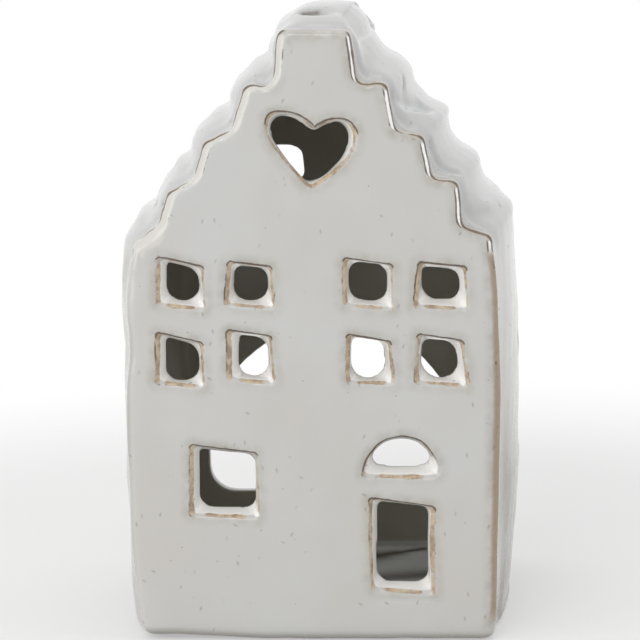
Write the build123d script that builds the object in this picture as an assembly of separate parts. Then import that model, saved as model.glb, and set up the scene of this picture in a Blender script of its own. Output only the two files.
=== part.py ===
from build123d import *
import math
import os

# A ceramic canal house that glows from a tealight inside it, in millimetres.
# X runs along the facade, Y from the facade to the back, Z up from the table.
# The origin is on the table, under the middle of the house.

# The house as a whole
facade_width = 100.0
foot_width = 97.6
house_depth = 90.0
ridge_height = 164.1
wall_thickness = 5.0
floor_thickness = 5.5
side_bow = 4.2
belly_height = 80.0
foot_round = 3.0
foot_corner_round = 3.3
bow_start_round = 10.0
arris_round = 1.6
overrun = 2.0

# The stepped gable, alike on the facade, the back wall and the roof between them
chimney_width = 19.4
shoulder_height = 108.6
shoulder_draw = 1.9
step_width_shares = (0.405, 0.617, 0.813, 1.0)
step_height_shares = (0.733, 0.483, 0.25, 0.0)
riser_lean = 2.0
tread_fall = 2.0
corner_round = 2.0

# The roof between the gables: softer steps, which swell upwards at mid depth
roof_crown = 3.4
nose_round = 2.6
valley_round = 4.2
skirt = 2.0

# The chimney cap and its smoke hole
cap_crown = 4.0
cap_round = 2.8
smoke_hole_diameter = 6.4
smoke_hole_forward_share = 0.244

# Small windows: two floors on the facade, two in the back gable, one in each side wall
window_width = 13.2
window_height = 13.6
window_splay = 1.9
window_round = 1.6
pane_round = 2.6
inner_column = 15.9
outer_column = 35.2
upper_floor = 96.2
lower_floor = 75.6
gable_window_offset = 15.4
gable_window_rise_share = 0.17297
side_window_height = 72.0

# Shop window, door and fanlight
shop_width = 18.4
shop_height = 19.2
shop_offset = 24.4
shop_centre_height = 41.8
door_width = 18.1
door_height = 26.0
door_centre_height = 24.0
door_offset = 24.4
entry_splay = 1.9
entry_round = 1.8
entry_pane_round = 3.0
fanlight_width = 20.4
fanlight_height = 11.0
fanlight_sill = 43.4

# Heart in the gable
heart_width = 24.0
heart_height = 20.8
heart_rise_share = 0.42523
heart_splay = 1.5
heart_lobe_radius_share = 0.25
heart_tip_round = 0.9

# Arch in the back wall, where the tealight goes in
arch_width = 73.6
arch_sill = 19.5
arch_spring = 33.0
arch_corner_round = 7.5
arch_arris_round = 1.2

# The tealight and its seat on the floor
tealight_diameter = 38.0
tealight_height = 16.0
tealight_left = 7.0
tealight_forward = 6.0
seat_clearance = 0.3
cup_wall = 0.4
cup_draft = 0.5
rim_width = 0.9
rim_thickness = 0.6
wax_clearance = 0.1
wax_below_rim = 2.6
wax_meniscus = 0.5
wick_diameter = 1.5
wick_proud = 5.0
tab_diameter = 13.0
tab_thickness = 0.5
tab_neck_diameter = 3.2
tab_neck_height = 3.0

# Places worked out from the sizes above
facade_half = facade_width / 2
foot_half = foot_width / 2
chimney_half = chimney_width / 2
shoulder_half = facade_half - shoulder_draw
gable_rise = ridge_height - shoulder_height
outer_y = house_depth / 2
inner_y = outer_y - wall_thickness
heart_centre_height = shoulder_height + gable_rise * heart_rise_share
gable_window_height = shoulder_height + gable_rise * gable_window_rise_share
wall_top = shoulder_height - wall_thickness
cap_underside = ridge_height - wall_thickness


def step_corners():
    """Outer corners of the gable's steps, from the chimney down to the shoulder."""
    corners = [(chimney_half, ridge_height)]
    for width_share, height_share in zip(step_width_shares, step_height_shares):
        corners.append((shoulder_half * width_share, shoulder_height + gable_rise * height_share))
    return corners


def step_line(inset):
    """Right-hand line of the steps, moved inwards and down by the inset."""
    corners = step_corners()
    line = []
    for upper, lower in zip(corners, corners[1:]):
        line.append((upper[0] - inset, upper[1] - inset))
        line.append((upper[0] + riser_lean - inset, lower[1] + tread_fall - inset))
    line.append((corners[-1][0] - inset, corners[-1][1] - inset))
    return line


def wall_half(height):
    """Half width of the facade at a height between the floor and the shoulder."""
    if height <= belly_height:
        share = (height - floor_thickness) / (belly_height - floor_thickness)
        return foot_half + (facade_half - foot_half) * share
    share = (height - belly_height) / (shoulder_height - belly_height)
    return facade_half - shoulder_draw * share


def mirrored(line):
    """The same line on the left-hand side, in the order that closes the outline."""
    return [(-x, z) for x, z in reversed(line)]


def upright_plane(y):
    """Plane at this depth that faces the front, drawn in X and Z."""
    return Plane(origin=(0, y, 0), x_dir=(1, 0, 0), z_dir=(0, -1, 0))


def gable_sheet():
    """Face of the whole gable outline above the floor slab, with its corners rounded."""
    line = step_line(0)
    line.append((facade_half, belly_height))
    line.append((foot_half, floor_thickness))
    face = make_face(Polyline(*mirrored(line), *line, close=True))
    steps = [v for v in face.vertices() if v.Y > belly_height]
    return fillet(steps, corner_round)


def gable_slab(front, round_front):
    """Slab of the gable outline from one depth, a wall thick, with its outer arris rounded."""
    plane = upright_plane(front + wall_thickness)
    slab = extrude(plane * gable_sheet(), wall_thickness)
    order = 0 if round_front else -1
    outer_face = slab.faces().sort_by(Axis.Y)[order]
    arris = [e for e in outer_face.edges() if e.center().Z > floor_thickness]
    return fillet(arris, arris_round)


def rounded_pane(width, height, radius):
    """Flat pane shape with rounded corners."""
    return RectangleRounded(width, height, radius)


def fanlight_pane(width, height, radius):
    """Low arched pane with a flat sill, centred on the middle of its height."""
    half = width / 2
    sill = -height / 2
    line = Line((-half, sill), (half, sill))
    crown = ThreePointArc((half, sill), (0, height / 2), (-half, sill))
    face = make_face([line, crown])
    return fillet(face.vertices(), radius)


def heart_pane(width, height):
    """Heart made of two round lobes and two straight sides that meet in a tip."""
    radius = width * heart_lobe_radius_share
    lobe_x = width / 2 - radius
    lobe_z = height / 2 - radius
    tip_z = -height / 2
    reach = math.hypot(lobe_x, lobe_z - tip_z)
    down = math.atan2(tip_z - lobe_z, -lobe_x) + math.acos(radius / reach)
    touch = (lobe_x + radius * math.cos(down), lobe_z + radius * math.sin(down))
    triangle = Polyline((0, tip_z), touch, (0, lobe_z), (-touch[0], touch[1]), close=True)
    lobes = Pos(lobe_x, lobe_z) * Circle(radius) + Pos(-lobe_x, lobe_z) * Circle(radius)
    face = make_face(triangle) + lobes
    tip = face.vertices().sort_by(Axis.Y)[0]
    return fillet(tip, heart_tip_round)


def splayed_cut(outer, inner, plane, depth):
    """Cutter that narrows from the outer pane to the inner pane through a wall."""
    mouth = plane * outer
    throat = plane.offset(-depth) * inner
    cutter = loft([mouth.face(), throat.face()], ruled=True)
    cutter += extrude(mouth, overrun)
    cutter += extrude(throat, -overrun)
    return cutter


def window_cut(plane):
    """Cutter for one small window, centred on the plane's origin."""
    outer = rounded_pane(window_width, window_height, window_round)
    inner = rounded_pane(window_width - 2 * window_splay, window_height - 2 * window_splay, pane_round)
    return splayed_cut(outer, inner, plane, wall_thickness)


def entry_cut(plane, width, height):
    """Cutter for the shop window or the door."""
    outer = rounded_pane(width, height, entry_round)
    inner = rounded_pane(width - 2 * entry_splay, height - 2 * entry_splay, entry_pane_round)
    return splayed_cut(outer, inner, plane, wall_thickness)


def facade_plane(x, z):
    """Plane on the facade's outer face, facing out, at this place."""
    return Plane(origin=(x, -outer_y, z), x_dir=(1, 0, 0), z_dir=(0, -1, 0))


def back_plane(x, z):
    """Plane on the back wall's outer face, facing out, at this place."""
    return Plane(origin=(x, outer_y, z), x_dir=(-1, 0, 0), z_dir=(0, 1, 0))


def build_facade():
    """Front slab with eight small windows, a shop window, a door, a fanlight and a heart."""
    slab = gable_slab(-outer_y, True)
    for column in (-outer_column, -inner_column, inner_column, outer_column):
        for floor in (upper_floor, lower_floor):
            slab -= window_cut(facade_plane(column, floor))
    slab -= entry_cut(facade_plane(-shop_offset, shop_centre_height), shop_width, shop_height)
    slab -= entry_cut(facade_plane(door_offset, door_centre_height), door_width, door_height)
    arch = fanlight_pane(fanlight_width, fanlight_height, entry_round)
    pane = fanlight_pane(fanlight_width - 2 * entry_splay, fanlight_height - 2 * entry_splay, entry_round)
    arch_centre = fanlight_sill + fanlight_height / 2
    slab -= splayed_cut(arch, pane, facade_plane(door_offset, arch_centre), wall_thickness)
    heart = heart_pane(heart_width, heart_height)
    throat = heart_pane(heart_width - 2 * heart_splay, heart_height - 2 * heart_splay)
    slab -= splayed_cut(heart, throat, facade_plane(0, heart_centre_height), wall_thickness)
    return slab


def arch_sheet():
    """Face of the back wall's arch, with its lower corners rounded."""
    half = arch_width / 2
    sill = Line((-half, arch_sill), (half, arch_sill))
    right = Line((half, arch_sill), (half, arch_spring))
    crown = ThreePointArc((half, arch_spring), (0, arch_spring + half), (-half, arch_spring))
    left = Line((-half, arch_spring), (-half, arch_sill))
    face = make_face([sill, right, crown, left])
    corners = [v for v in face.vertices() if v.Y < arch_spring]
    return fillet(corners, arch_corner_round)


def build_back_wall():
    """Back slab with the tealight's arch and two small windows in the gable."""
    slab = gable_slab(inner_y, False)
    for offset in (-gable_window_offset, gable_window_offset):
        slab -= window_cut(back_plane(offset, gable_window_height))
    slab -= extrude(upright_plane(outer_y + overrun) * arch_sheet(), wall_thickness + 2 * overrun)
    half = arch_width / 2
    arris = [e for e in slab.edges() if abs(e.center().X) <= half and e.center().Y > inner_y]
    arris = [e for e in arris if e.center().Z < arch_spring + half + overrun and on_outer_face(e)]
    return fillet([e for e in arris if e.center().Z > floor_thickness], arch_arris_round)


def on_outer_face(edge):
    """Whether an edge lies flat in the back wall's outer face."""
    return abs(edge.bounding_box().min.Y - outer_y) < seat_clearance and edge.length > 0


def swell(profile, rise):
    """Slab that has this profile at the gables and swells outwards, and up by the rise, to mid depth.

    The profile turns about an axis far to its left. The axis leans as the swelling does, so that
    at mid depth the profile stands side_bow further out and the rise higher than at its ends.
    """
    bulge = math.hypot(side_bow, rise)
    out_x = side_bow / bulge
    out_z = rise / bulge
    radius = (inner_y**2 + bulge**2) / (2 * bulge)
    sheet = upright_plane(0) * profile
    centre = sheet.face().center()
    foot = (centre.X + side_bow - radius * out_x, 0, centre.Z + rise - radius * out_z)
    axis = Axis(foot, (-out_z, 0, out_x))
    reach = 2 * math.degrees(math.asin(outer_y / (radius - 2 * wall_thickness)))
    start = (Pos(side_bow, 0, rise) * sheet).rotate(axis, -reach / 2)
    return revolve(start, axis, reach)


def between_gables(bottom, top):
    """Box that fills the house between the facade and the back wall, at these heights."""
    width = 2 * (facade_half + side_bow + overrun)
    block = Box(width, 2 * inner_y, top - bottom)
    return Pos(0, 0, (bottom + top) / 2) * block


def build_right_wall():
    """Right side wall: it bellies outwards and carries one small window."""
    outer = [(wall_half(z), z) for z in (floor_thickness, belly_height, wall_top)]
    inner = [(x - wall_thickness, z) for x, z in reversed(outer)]
    wall = swell(make_face(Polyline(*outer, *inner, close=True)), 0)
    wall = wall & between_gables(floor_thickness, wall_top)
    face_x = wall_half(side_window_height) + side_bow
    plane = Plane(origin=(face_x, 0, side_window_height), x_dir=(0, 1, 0), z_dir=(1, 0, 0))
    return wall - window_cut(plane)


def build_right_roof():
    """Right half of the stepped roof, from under the chimney cap to the top of the side wall."""
    outer = step_line(0)
    inner = step_line(wall_thickness)
    hem = wall_top - roof_crown - skirt
    hem_line = [(wall_half(hem), hem), (wall_half(hem) - wall_thickness, hem)]
    flue = (inner[0][0], ridge_height)
    profile = make_face(Polyline(*outer, *hem_line, *reversed(inner), flue, close=True))
    profile = fillet([v for v in profile.vertices() if on_step(v, outer[1::2])], valley_round)
    profile = fillet([v for v in profile.vertices() if on_step(v, outer[2::2])], nose_round)
    return swell(profile, roof_crown) & between_gables(wall_top, cap_underside)


def on_step(vertex, points):
    """Whether a vertex of the roof's profile is one of these step points."""
    return any(math.hypot(vertex.X - x, vertex.Y - z) < seat_clearance for x, z in points)


def riser_slope():
    """How far the chimney's cheek leans out for each unit that it goes down."""
    top, foot = step_line(0)[:2]
    return (foot[0] - top[0]) / (top[1] - foot[1])


def bowed_side(half, reach):
    """Right side of a plan outline: this half width where the gables begin, and the bow at mid depth."""
    end = half + side_bow * (1 - (reach / inner_y) ** 2)
    return ThreePointArc((end, -reach), (half + side_bow, 0), (end, reach))


def bowed_face(half, reach, side_line):
    """Plan face between two bowed sides, closed at the front and the back by this line of points."""
    right = bowed_side(half, reach)
    left = mirror(right, Plane.YZ)
    back = Polyline(right @ 1, *side_line, left @ 1)
    front = mirror(back, Plane.XZ)
    return make_face([right, back, left, front])


def build_chimney_cap():
    """Cap over the flue: its sides bow and lean like the roof, and its top is crowned."""
    peak = ridge_height + cap_crown
    foot = chimney_half + riser_slope() * wall_thickness
    lean = math.degrees(math.atan(riser_slope()))
    outline = bowed_face(foot, inner_y + overrun, [])
    cap = extrude(Pos(0, 0, cap_underside) * outline, peak - cap_underside, taper=lean)
    base = Line((-inner_y, cap_underside), (inner_y, cap_underside))
    back = Line((inner_y, cap_underside), (inner_y, ridge_height))
    top = ThreePointArc((inner_y, ridge_height), (0, peak), (-inner_y, ridge_height))
    front = Line((-inner_y, ridge_height), (-inner_y, cap_underside))
    side = Plane(origin=(-facade_half, 0, 0), x_dir=(0, 1, 0), z_dir=(1, 0, 0))
    cap = cap & extrude(side * make_face([base, back, top, front]), facade_width)
    long_edges = [e for e in cap.edges() if e.center().Z > ridge_height and e.length > inner_y]
    cap = fillet(long_edges, cap_round)
    hole = Cylinder(smoke_hole_diameter / 2, 2 * (wall_thickness + cap_crown))
    return cap - Pos(0, -smoke_hole_forward_share * house_depth, ridge_height) * hole


def build_floor_slab():
    """Floor under the whole house, bowed like the side walls, with a rounded foot."""
    corners = [(foot_half, outer_y), (-foot_half, outer_y)]
    face = bowed_face(foot_half, inner_y, corners)
    starts = [v for v in face.vertices() if abs(v.Y) < inner_y + seat_clearance]
    face = fillet(starts, bow_start_round)
    corners = [v for v in face.vertices() if abs(v.Y) > outer_y - seat_clearance]
    slab = extrude(fillet(corners, foot_corner_round), floor_thickness)
    return fillet(slab.faces().sort_by(Axis.Z)[0].edges(), foot_round)


def seat(shape):
    """Puts a piece of the tealight on its seat on the house's floor."""
    return Pos(-tealight_left, -tealight_forward, floor_thickness + seat_clearance) * shape


def turned(points):
    """Solid turned about the vertical axis from a profile of radii and heights."""
    face = make_face(Polyline(*points, close=True))
    return revolve(Plane.XZ * face, Axis.Z)


def build_cup():
    """Thin aluminium cup with a flat rim and slightly flared sides."""
    top = tealight_diameter / 2 - rim_width
    bottom = top - cup_draft
    rim = tealight_diameter / 2
    lip = tealight_height - rim_thickness
    outside = [(0, 0), (bottom, 0), (top, lip), (rim, lip), (rim, tealight_height)]
    inside = [(top - cup_wall, tealight_height), (bottom - cup_wall, cup_wall), (0, cup_wall)]
    return seat(turned(outside + inside))


def wax_radius(height):
    """Radius of the wax at a height in the flared cup."""
    top = tealight_diameter / 2 - rim_width - cup_wall
    share = (height - cup_wall) / (tealight_height - cup_wall)
    return top - cup_draft * (1 - share) - wax_clearance


def build_wax():
    """Wax that fills the cup around the tab and the wick, drawn up a little at its edge."""
    level = tealight_height - wax_below_rim
    neck = tab_neck_diameter / 2
    tab_top = cup_wall + tab_thickness
    neck_top = tab_top + tab_neck_height
    outline = [(tab_diameter / 2, cup_wall), (wax_radius(cup_wall), cup_wall)]
    outline += [(wax_radius(level), level), (wax_radius(level) - wax_meniscus, level - wax_meniscus)]
    outline += [(wick_diameter / 2, level - wax_meniscus), (wick_diameter / 2, neck_top)]
    outline += [(neck, neck_top), (neck, tab_top), (tab_diameter / 2, tab_top)]
    return seat(turned(outline))


def build_wick_tab():
    """Pressed steel tab on the cup's floor, whose neck grips the wick."""
    inner = wick_diameter / 2
    neck = tab_neck_diameter / 2
    top = tab_thickness + tab_neck_height
    outline = [(inner, 0), (tab_diameter / 2, 0), (tab_diameter / 2, tab_thickness)]
    outline += [(neck, tab_thickness), (neck, top), (inner, top)]
    return seat(Pos(0, 0, cup_wall) * turned(outline))


def build_wick():
    """Braided wick from the cup's floor to a little above the wax."""
    level = tealight_height - wax_below_rim - wax_meniscus
    height = level + wick_proud - cup_wall
    return seat(Pos(0, 0, cup_wall + height / 2) * Cylinder(wick_diameter / 2, height))


def save(name, shape):
    """Writes one node and prints its volume, so that an empty or broken piece shows."""
    solids = shape.solids()
    print(name, len(solids), "solid(s)", round(shape.volume), "mm3", shape.is_valid)
    export_step(shape, "parts/" + name + ".step")


def main():
    """Builds every piece and writes it to the parts folder."""
    os.makedirs("parts", exist_ok=True)
    right_wall = build_right_wall()
    right_roof = build_right_roof()
    save("front_facade", build_facade())
    save("back_wall", build_back_wall())
    save("right_wall", right_wall)
    save("left_wall", mirror(right_wall, Plane.YZ))
    save("right_roof", right_roof)
    save("left_roof", mirror(right_roof, Plane.YZ))
    save("chimney_cap", build_chimney_cap())
    save("floor_slab", build_floor_slab())
    save("tealight_cup", build_cup())
    save("tealight_wax", build_wax())
    save("wick_tab", build_wick_tab())
    save("wick", build_wick())


main()
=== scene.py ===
"""Dresses the tealight house: a hand-cut, glazed stoneware canal house with a tealight inside it."""

import logging
import math
from dataclasses import dataclass, field
from enum import Enum
from typing import Iterable, Sequence

import bpy
import numpy as np
from mathutils import Matrix, Vector
from mathutils.kdtree import KDTree


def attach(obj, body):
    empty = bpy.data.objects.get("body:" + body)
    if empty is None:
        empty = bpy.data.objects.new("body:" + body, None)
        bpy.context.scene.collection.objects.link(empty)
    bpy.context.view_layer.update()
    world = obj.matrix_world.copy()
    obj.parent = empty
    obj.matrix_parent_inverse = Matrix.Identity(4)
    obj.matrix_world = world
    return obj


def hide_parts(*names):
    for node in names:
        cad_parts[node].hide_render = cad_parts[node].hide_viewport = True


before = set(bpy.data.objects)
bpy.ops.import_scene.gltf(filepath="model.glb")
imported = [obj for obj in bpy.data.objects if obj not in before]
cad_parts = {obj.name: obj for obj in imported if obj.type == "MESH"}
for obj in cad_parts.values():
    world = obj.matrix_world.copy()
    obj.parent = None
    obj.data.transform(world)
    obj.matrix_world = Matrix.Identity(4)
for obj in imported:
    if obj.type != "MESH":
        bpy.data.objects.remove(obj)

LOG = logging.getLogger("tealight_house")
MM = 0.001

Point = tuple[float, float]
Place = tuple[float, float, float]
Rgb = tuple[float, float, float]
Sizes = tuple[Point, ...]
Object = bpy.types.Object
Mesh = bpy.types.Mesh
Node = bpy.types.Node
Socket = bpy.types.NodeSocket
Tree = bpy.types.NodeTree
Material = bpy.types.Material


# Meshes


def linked(name: str, data: bpy.types.ID) -> Object:
    """Makes an object of a mesh, a lamp or a camera.

    Args:
        name: The object's name.
        data: What the object shows.

    Returns:
        The new object, linked to the scene.
    """
    made = bpy.data.objects.new(name, data)
    bpy.context.scene.collection.objects.link(made)
    return made


def add_object(name: str, points: np.ndarray, faces: Sequence[Sequence[int]]) -> Object:
    """Makes a mesh object from points in metres.

    Args:
        name: The object's name.
        points: Corner points, one row each.
        faces: Corner numbers of each face.

    Returns:
        The new object.
    """
    mesh = bpy.data.meshes.new(name)
    mesh.from_pydata(points.tolist(), [], [list(f) for f in faces])
    mesh.validate()
    return linked(name, mesh)


def ring_faces(low: int, high: int, count: int) -> list[list[int]]:
    """Corner numbers of the faces between two rings of count points, by each ring's first point."""
    pairs = [(i, (i + 1) % count) for i in range(count)]
    return [[low + i, low + j, high + j, high + i] for i, j in pairs]


def read_rows(items: bpy.types.bpy_prop_collection, key: str, parts: int, whole: bool = False) -> np.ndarray:
    """Reads one row of numbers for each vertex, edge or face.

    Args:
        items: The mesh's vertices, edges, faces or other elements.
        key: The property to read.
        parts: Numbers in each row.
        whole: Whether they are whole numbers.

    Returns:
        The rows.
    """
    flat = np.empty(len(items) * parts, np.int32 if whole else np.float32)
    items.foreach_get(key, flat)
    return flat.reshape(-1, parts).astype(int if whole else float)


def write_rows(items: bpy.types.bpy_prop_collection, key: str, values: np.ndarray) -> None:
    """Writes one row of numbers for each of a mesh's elements."""
    items.foreach_set(key, values.astype(np.float32).ravel())


def read_points(mesh: Mesh) -> np.ndarray:
    """A mesh's points, one row of x, y, z in metres for each vertex."""
    return read_rows(mesh.vertices, "co", 3)


def write_points(mesh: Mesh, points: np.ndarray) -> None:
    """Moves a mesh's vertices to new points in metres."""
    write_rows(mesh.vertices, "co", points)
    mesh.update()


def vertex_normals(mesh: Mesh) -> np.ndarray:
    """A mesh's normals, one unit vector for each vertex."""
    return read_rows(mesh.vertex_normals, "vector", 3)


def write_mask(mesh: Mesh, name: str, values: np.ndarray) -> None:
    """Stores a number or a row of three for each vertex, for the materials to read."""
    kind, key = ("FLOAT_VECTOR", "vector") if values.ndim == 2 else ("FLOAT", "value")
    write_rows(mesh.attributes.new(name, kind, "POINT").data, key, values)


def read_mask(mesh: Mesh, name: str) -> np.ndarray:
    """Reads what the mesh carries under a name.

    Args:
        mesh: The mesh with the attribute.
        name: The attribute's name.

    Returns:
        One row for each vertex, with one number or with three.
    """
    attribute = mesh.attributes[name]
    parts, key = (3, "vector") if attribute.data_type == "FLOAT_VECTOR" else (1, "value")
    return read_rows(attribute.data, key, parts)


def merged(name: str, sources: Sequence[Object]) -> Object:
    """Puts the meshes of several objects together in a new one.

    Args:
        name: The new object's name.
        sources: The objects, which stay.

    Returns:
        The new object.
    """
    points, faces, base = [], [], 0
    for source in sources:
        points.append(read_points(source.data))
        faces += [[base + v for v in face.vertices] for face in source.data.polygons]
        base += len(source.data.vertices)
    return add_object(name, np.vstack(points), faces)


def discard(objects: Iterable[Object]) -> None:
    """Deletes objects that only served to make others."""
    for item in objects:
        bpy.data.objects.remove(item)


def shade_smooth(mesh: Mesh) -> None:
    """Shades every face of a mesh smoothly."""
    mesh.polygons.foreach_set("use_smooth", np.ones(len(mesh.polygons), bool))


def ramp(values: np.ndarray, low: float, high: float) -> np.ndarray:
    """Rises smoothly from 0 where the values are low to 1 where they are high."""
    share = np.clip((values - low) / (high - low), 0.0, 1.0)
    return share * share * (3.0 - 2.0 * share)


def smooth_lookup(values: np.ndarray, table: Sequence[Point], reach: float) -> np.ndarray:
    """Reads a table of sizes without kinks.

    Args:
        values: Where to read it.
        table: Pairs of a place and a size, in rising order of place.
        reach: Over how much of a place the sizes blend.

    Returns:
        One size for each value.
    """
    fineness = 10
    places, sizes = zip(*table)
    fine = np.arange(places[0] - 2 * reach, places[-1] + 2 * reach, reach / fineness)
    window = np.hanning(2 * fineness + 3)[1:-1]
    padded = np.pad(np.interp(fine, places, sizes), fineness, mode="edge")
    return np.interp(values, fine, np.convolve(padded, window / window.sum(), mode="valid"))


def evaluated_copy(source: Object, name: str) -> Mesh:
    """Applies an object's modifiers to a new mesh.

    Args:
        source: The object with modifiers.
        name: The new mesh's name.

    Returns:
        The mesh with the modifiers applied.
    """
    graph = bpy.context.evaluated_depsgraph_get()
    made = bpy.data.meshes.new_from_object(source.evaluated_get(graph))
    made.name = name
    return made


def carved(target: Object, tool: Object, how: str, name: str) -> Mesh:
    """Cuts one closed solid with another.

    Args:
        target: The solid to cut, which stays as it is.
        tool: The other solid, which is deleted.
        how: DIFFERENCE or INTERSECT.
        name: The new mesh's name.

    Returns:
        The cut mesh.
    """
    cut = target.modifiers.new("cut", "BOOLEAN")
    cut.operation, cut.solver, cut.object = how, "MANIFOLD", tool
    mesh = evaluated_copy(target, name)
    target.modifiers.clear()
    discard([tool])
    return mesh


class Relaxer:
    """Moves each vertex of a mesh towards the middle of its neighbours."""

    def __init__(self, mesh: Mesh) -> None:
        """Reads the mesh's edges.

        Args:
            mesh: The mesh whose neighbours count.
        """
        ends = read_rows(mesh.edges, "vertices", 2, whole=True)
        self.start = np.concatenate([ends[:, 0], ends[:, 1]])
        self.stop = np.concatenate([ends[:, 1], ends[:, 0]])
        self.count = len(mesh.vertices)
        self.valence = np.maximum(np.bincount(self.start, minlength=self.count), 1)[:, None]

    def mean(self, values: np.ndarray) -> np.ndarray:
        """Averages each vertex's neighbours."""
        sums = [np.bincount(self.start, values[self.stop, k], self.count) for k in range(values.shape[1])]
        return np.stack(sums, 1) / self.valence

    def relax(self, values: np.ndarray, passes: int, share: np.ndarray | float = 0.5) -> np.ndarray:
        """Relaxes values over the mesh.

        Args:
            values: One row of numbers for each vertex.
            passes: How often to repeat.
            share: How far to go each time, for all vertices or for each.

        Returns:
            The relaxed values.
        """
        for _ in range(passes):
            values = values + share * (self.mean(values) - values)
        return values


# Outlines


def rounded_loop(
    corners: Sequence[Point], radii: Sequence[float], arc: int = 10, side: int = 8
) -> np.ndarray:
    """Closed loop through four corners, each rounded by its own radius.

    Args:
        corners: Corners in x and z, clockwise from the top left.
        radii: Radius at each corner, in the corners' unit.
        arc: Points on each rounded corner.
        side: Points on each straight side between them.

    Returns:
        The loop's points, as many for any corners and radii.
    """
    longest, fullness = 0.49, math.sqrt(0.5)
    places = [np.array(c, float) for c in corners]
    count = len(places)
    lengths = [np.linalg.norm(places[(k + 1) % count] - places[k]) for k in range(count)]
    cuts = []
    for k, place in enumerate(places):
        before, after = places[k - 1], places[(k + 1) % count]
        reach = min(radii[k], longest * lengths[k - 1], longest * lengths[k])
        start = place + (before - place) / np.linalg.norm(before - place) * reach
        end = place + (after - place) / np.linalg.norm(after - place) * reach
        cuts.append((start, place, end))
    loop = []
    for k, (start, place, end) in enumerate(cuts):
        for u in np.linspace(0.0, 1.0, arc):
            weights = np.array([(1 - u) ** 2, 2 * u * (1 - u) * fullness, u**2])
            weights /= weights.sum()
            loop.append(weights[0] * start + weights[1] * place + weights[2] * end)
        following = cuts[(k + 1) % count][0]
        for u in np.linspace(0.0, 1.0, side + 2)[1:-1]:
            loop.append(end + (following - end) * u)
    return np.array(loop)


def spline_loop(points: Sequence[Point], steps: int = 4) -> np.ndarray:
    """Closed smooth loop through a few points.

    Args:
        points: Points in x and z, clockwise.
        steps: Points made for each span.

    Returns:
        The loop's points.
    """
    knots = np.array(points, float)
    loop = []
    for k in range(len(knots)):
        a, b, c, d = (knots[(k + j) % len(knots)] for j in (-1, 0, 1, 2))
        for u in np.arange(steps) / steps:
            bend = 2 * b + (c - a) * u + (2 * a - 5 * b + 4 * c - d) * u**2
            loop.append(0.5 * (bend + (3 * b - a - 3 * c + d) * u**3))
    return np.array(loop)


def outward(loop: np.ndarray) -> np.ndarray:
    """Directions that point out of a clockwise loop.

    Args:
        loop: The loop's points in x and z.

    Returns:
        One unit vector for each point.
    """
    along = np.roll(loop, -1, 0) - np.roll(loop, 1, 0)
    along /= np.maximum(np.linalg.norm(along, axis=1), 1e-9)[:, None]
    return np.stack([-along[:, 1], along[:, 0]], 1)


def side_shares(directions: np.ndarray) -> tuple[np.ndarray, ...]:
    """How far each direction in x and z points to the left, right, top and bottom, from 0 to 1."""
    x, z = directions.T
    return tuple(np.maximum(part, 0) for part in (-x, x, z, -z))

def outline_distance(places: np.ndarray, loop: np.ndarray) -> tuple[np.ndarray, np.ndarray]:
    """Signed distance from a closed loop, and which point of the loop is nearest.

    Args:
        places: Points in x and z.
        loop: The loop's points in x and z.

    Returns:
        Distances, negative inside the loop, and the nearest point's number.
    """
    batch, tiny = 8000, 1e-12
    distances, nearest = np.empty(len(places)), np.empty(len(places), int)
    ends = np.roll(loop, -1, 0)
    along = ends - loop
    square = np.maximum((along**2).sum(1), tiny)
    for first in range(0, len(places), batch):
        part = places[first : first + batch, None, :]
        share = np.clip(((part - loop) * along).sum(2) / square, 0.0, 1.0)
        gaps = np.linalg.norm(part - loop - share[..., None] * along, axis=2)
        best = gaps.argmin(1)
        x, z = part[..., 0], part[..., 1]
        spans = (loop[:, 1] > z) != (ends[:, 1] > z)
        rise = np.where(np.abs(along[:, 1]) < 1e-9, 1e-9, along[:, 1])
        crossed = spans & (x < loop[:, 0] + (z - loop[:, 1]) * along[:, 0] / rise)
        inside = crossed.sum(1) % 2 == 1
        rows = slice(first, first + len(part))
        distances[rows] = np.where(inside, -1.0, 1.0) * gaps[np.arange(len(part)), best]
        nearest[rows] = best
    return distances, nearest


def inset(corners: np.ndarray, widths: Sequence[float]) -> np.ndarray:
    """Moves each side of a clockwise outline inwards by its own width.

    Args:
        corners: The outline's corners in x and z.
        widths: How far each side moves in, from one corner to the next; less than 0 is outwards.

    Returns:
        The moved outline's corners.
    """
    nearly_straight = 0.05
    ends = np.roll(corners, -1, 0)
    along = (ends - corners) / np.linalg.norm(ends - corners, axis=1)[:, None]
    inward = np.stack([along[:, 1], -along[:, 0]], 1)
    starts = corners + inward * np.array(widths)[:, None]
    moved = []
    for k in range(len(corners)):
        a, da, b, db = starts[k - 1], along[k - 1], starts[k], along[k]
        turn = da[0] * db[1] - da[1] * db[0]
        if abs(turn) < nearly_straight:
            moved.append((b + a + da * ((b - a) @ da)) / 2)
            continue
        step = ((b[0] - a[0]) * db[1] - (b[1] - a[1]) * db[0]) / turn
        moved.append(a + da * step)
    return np.array(moved)


def bell(values: np.ndarray, width: float) -> np.ndarray:
    """A smooth bump that is 1 at 0 and fades over a width."""
    return np.exp(-((values / width) ** 2))


def loft(name: str, sections: Sequence[tuple[float, np.ndarray]]) -> Object:
    """Closed solid through clockwise loops that stand one behind the other.

    Args:
        name: The object's name.
        sections: Y in millimetres and the loop in x and z, from front to back.

    Returns:
        The solid's object.
    """
    count, last = len(sections[0][1]), len(sections) - 1
    points = [np.stack([loop[:, 0], np.full(count, y), loop[:, 1]], 1) for y, loop in sections]
    faces = [list(reversed(range(count)))]
    for k in range(last):
        faces += ring_faces(k * count, (k + 1) * count, count)
    faces.append([last * count + i for i in range(count)])
    return add_object(name, np.vstack(points) * MM, faces)


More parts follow.
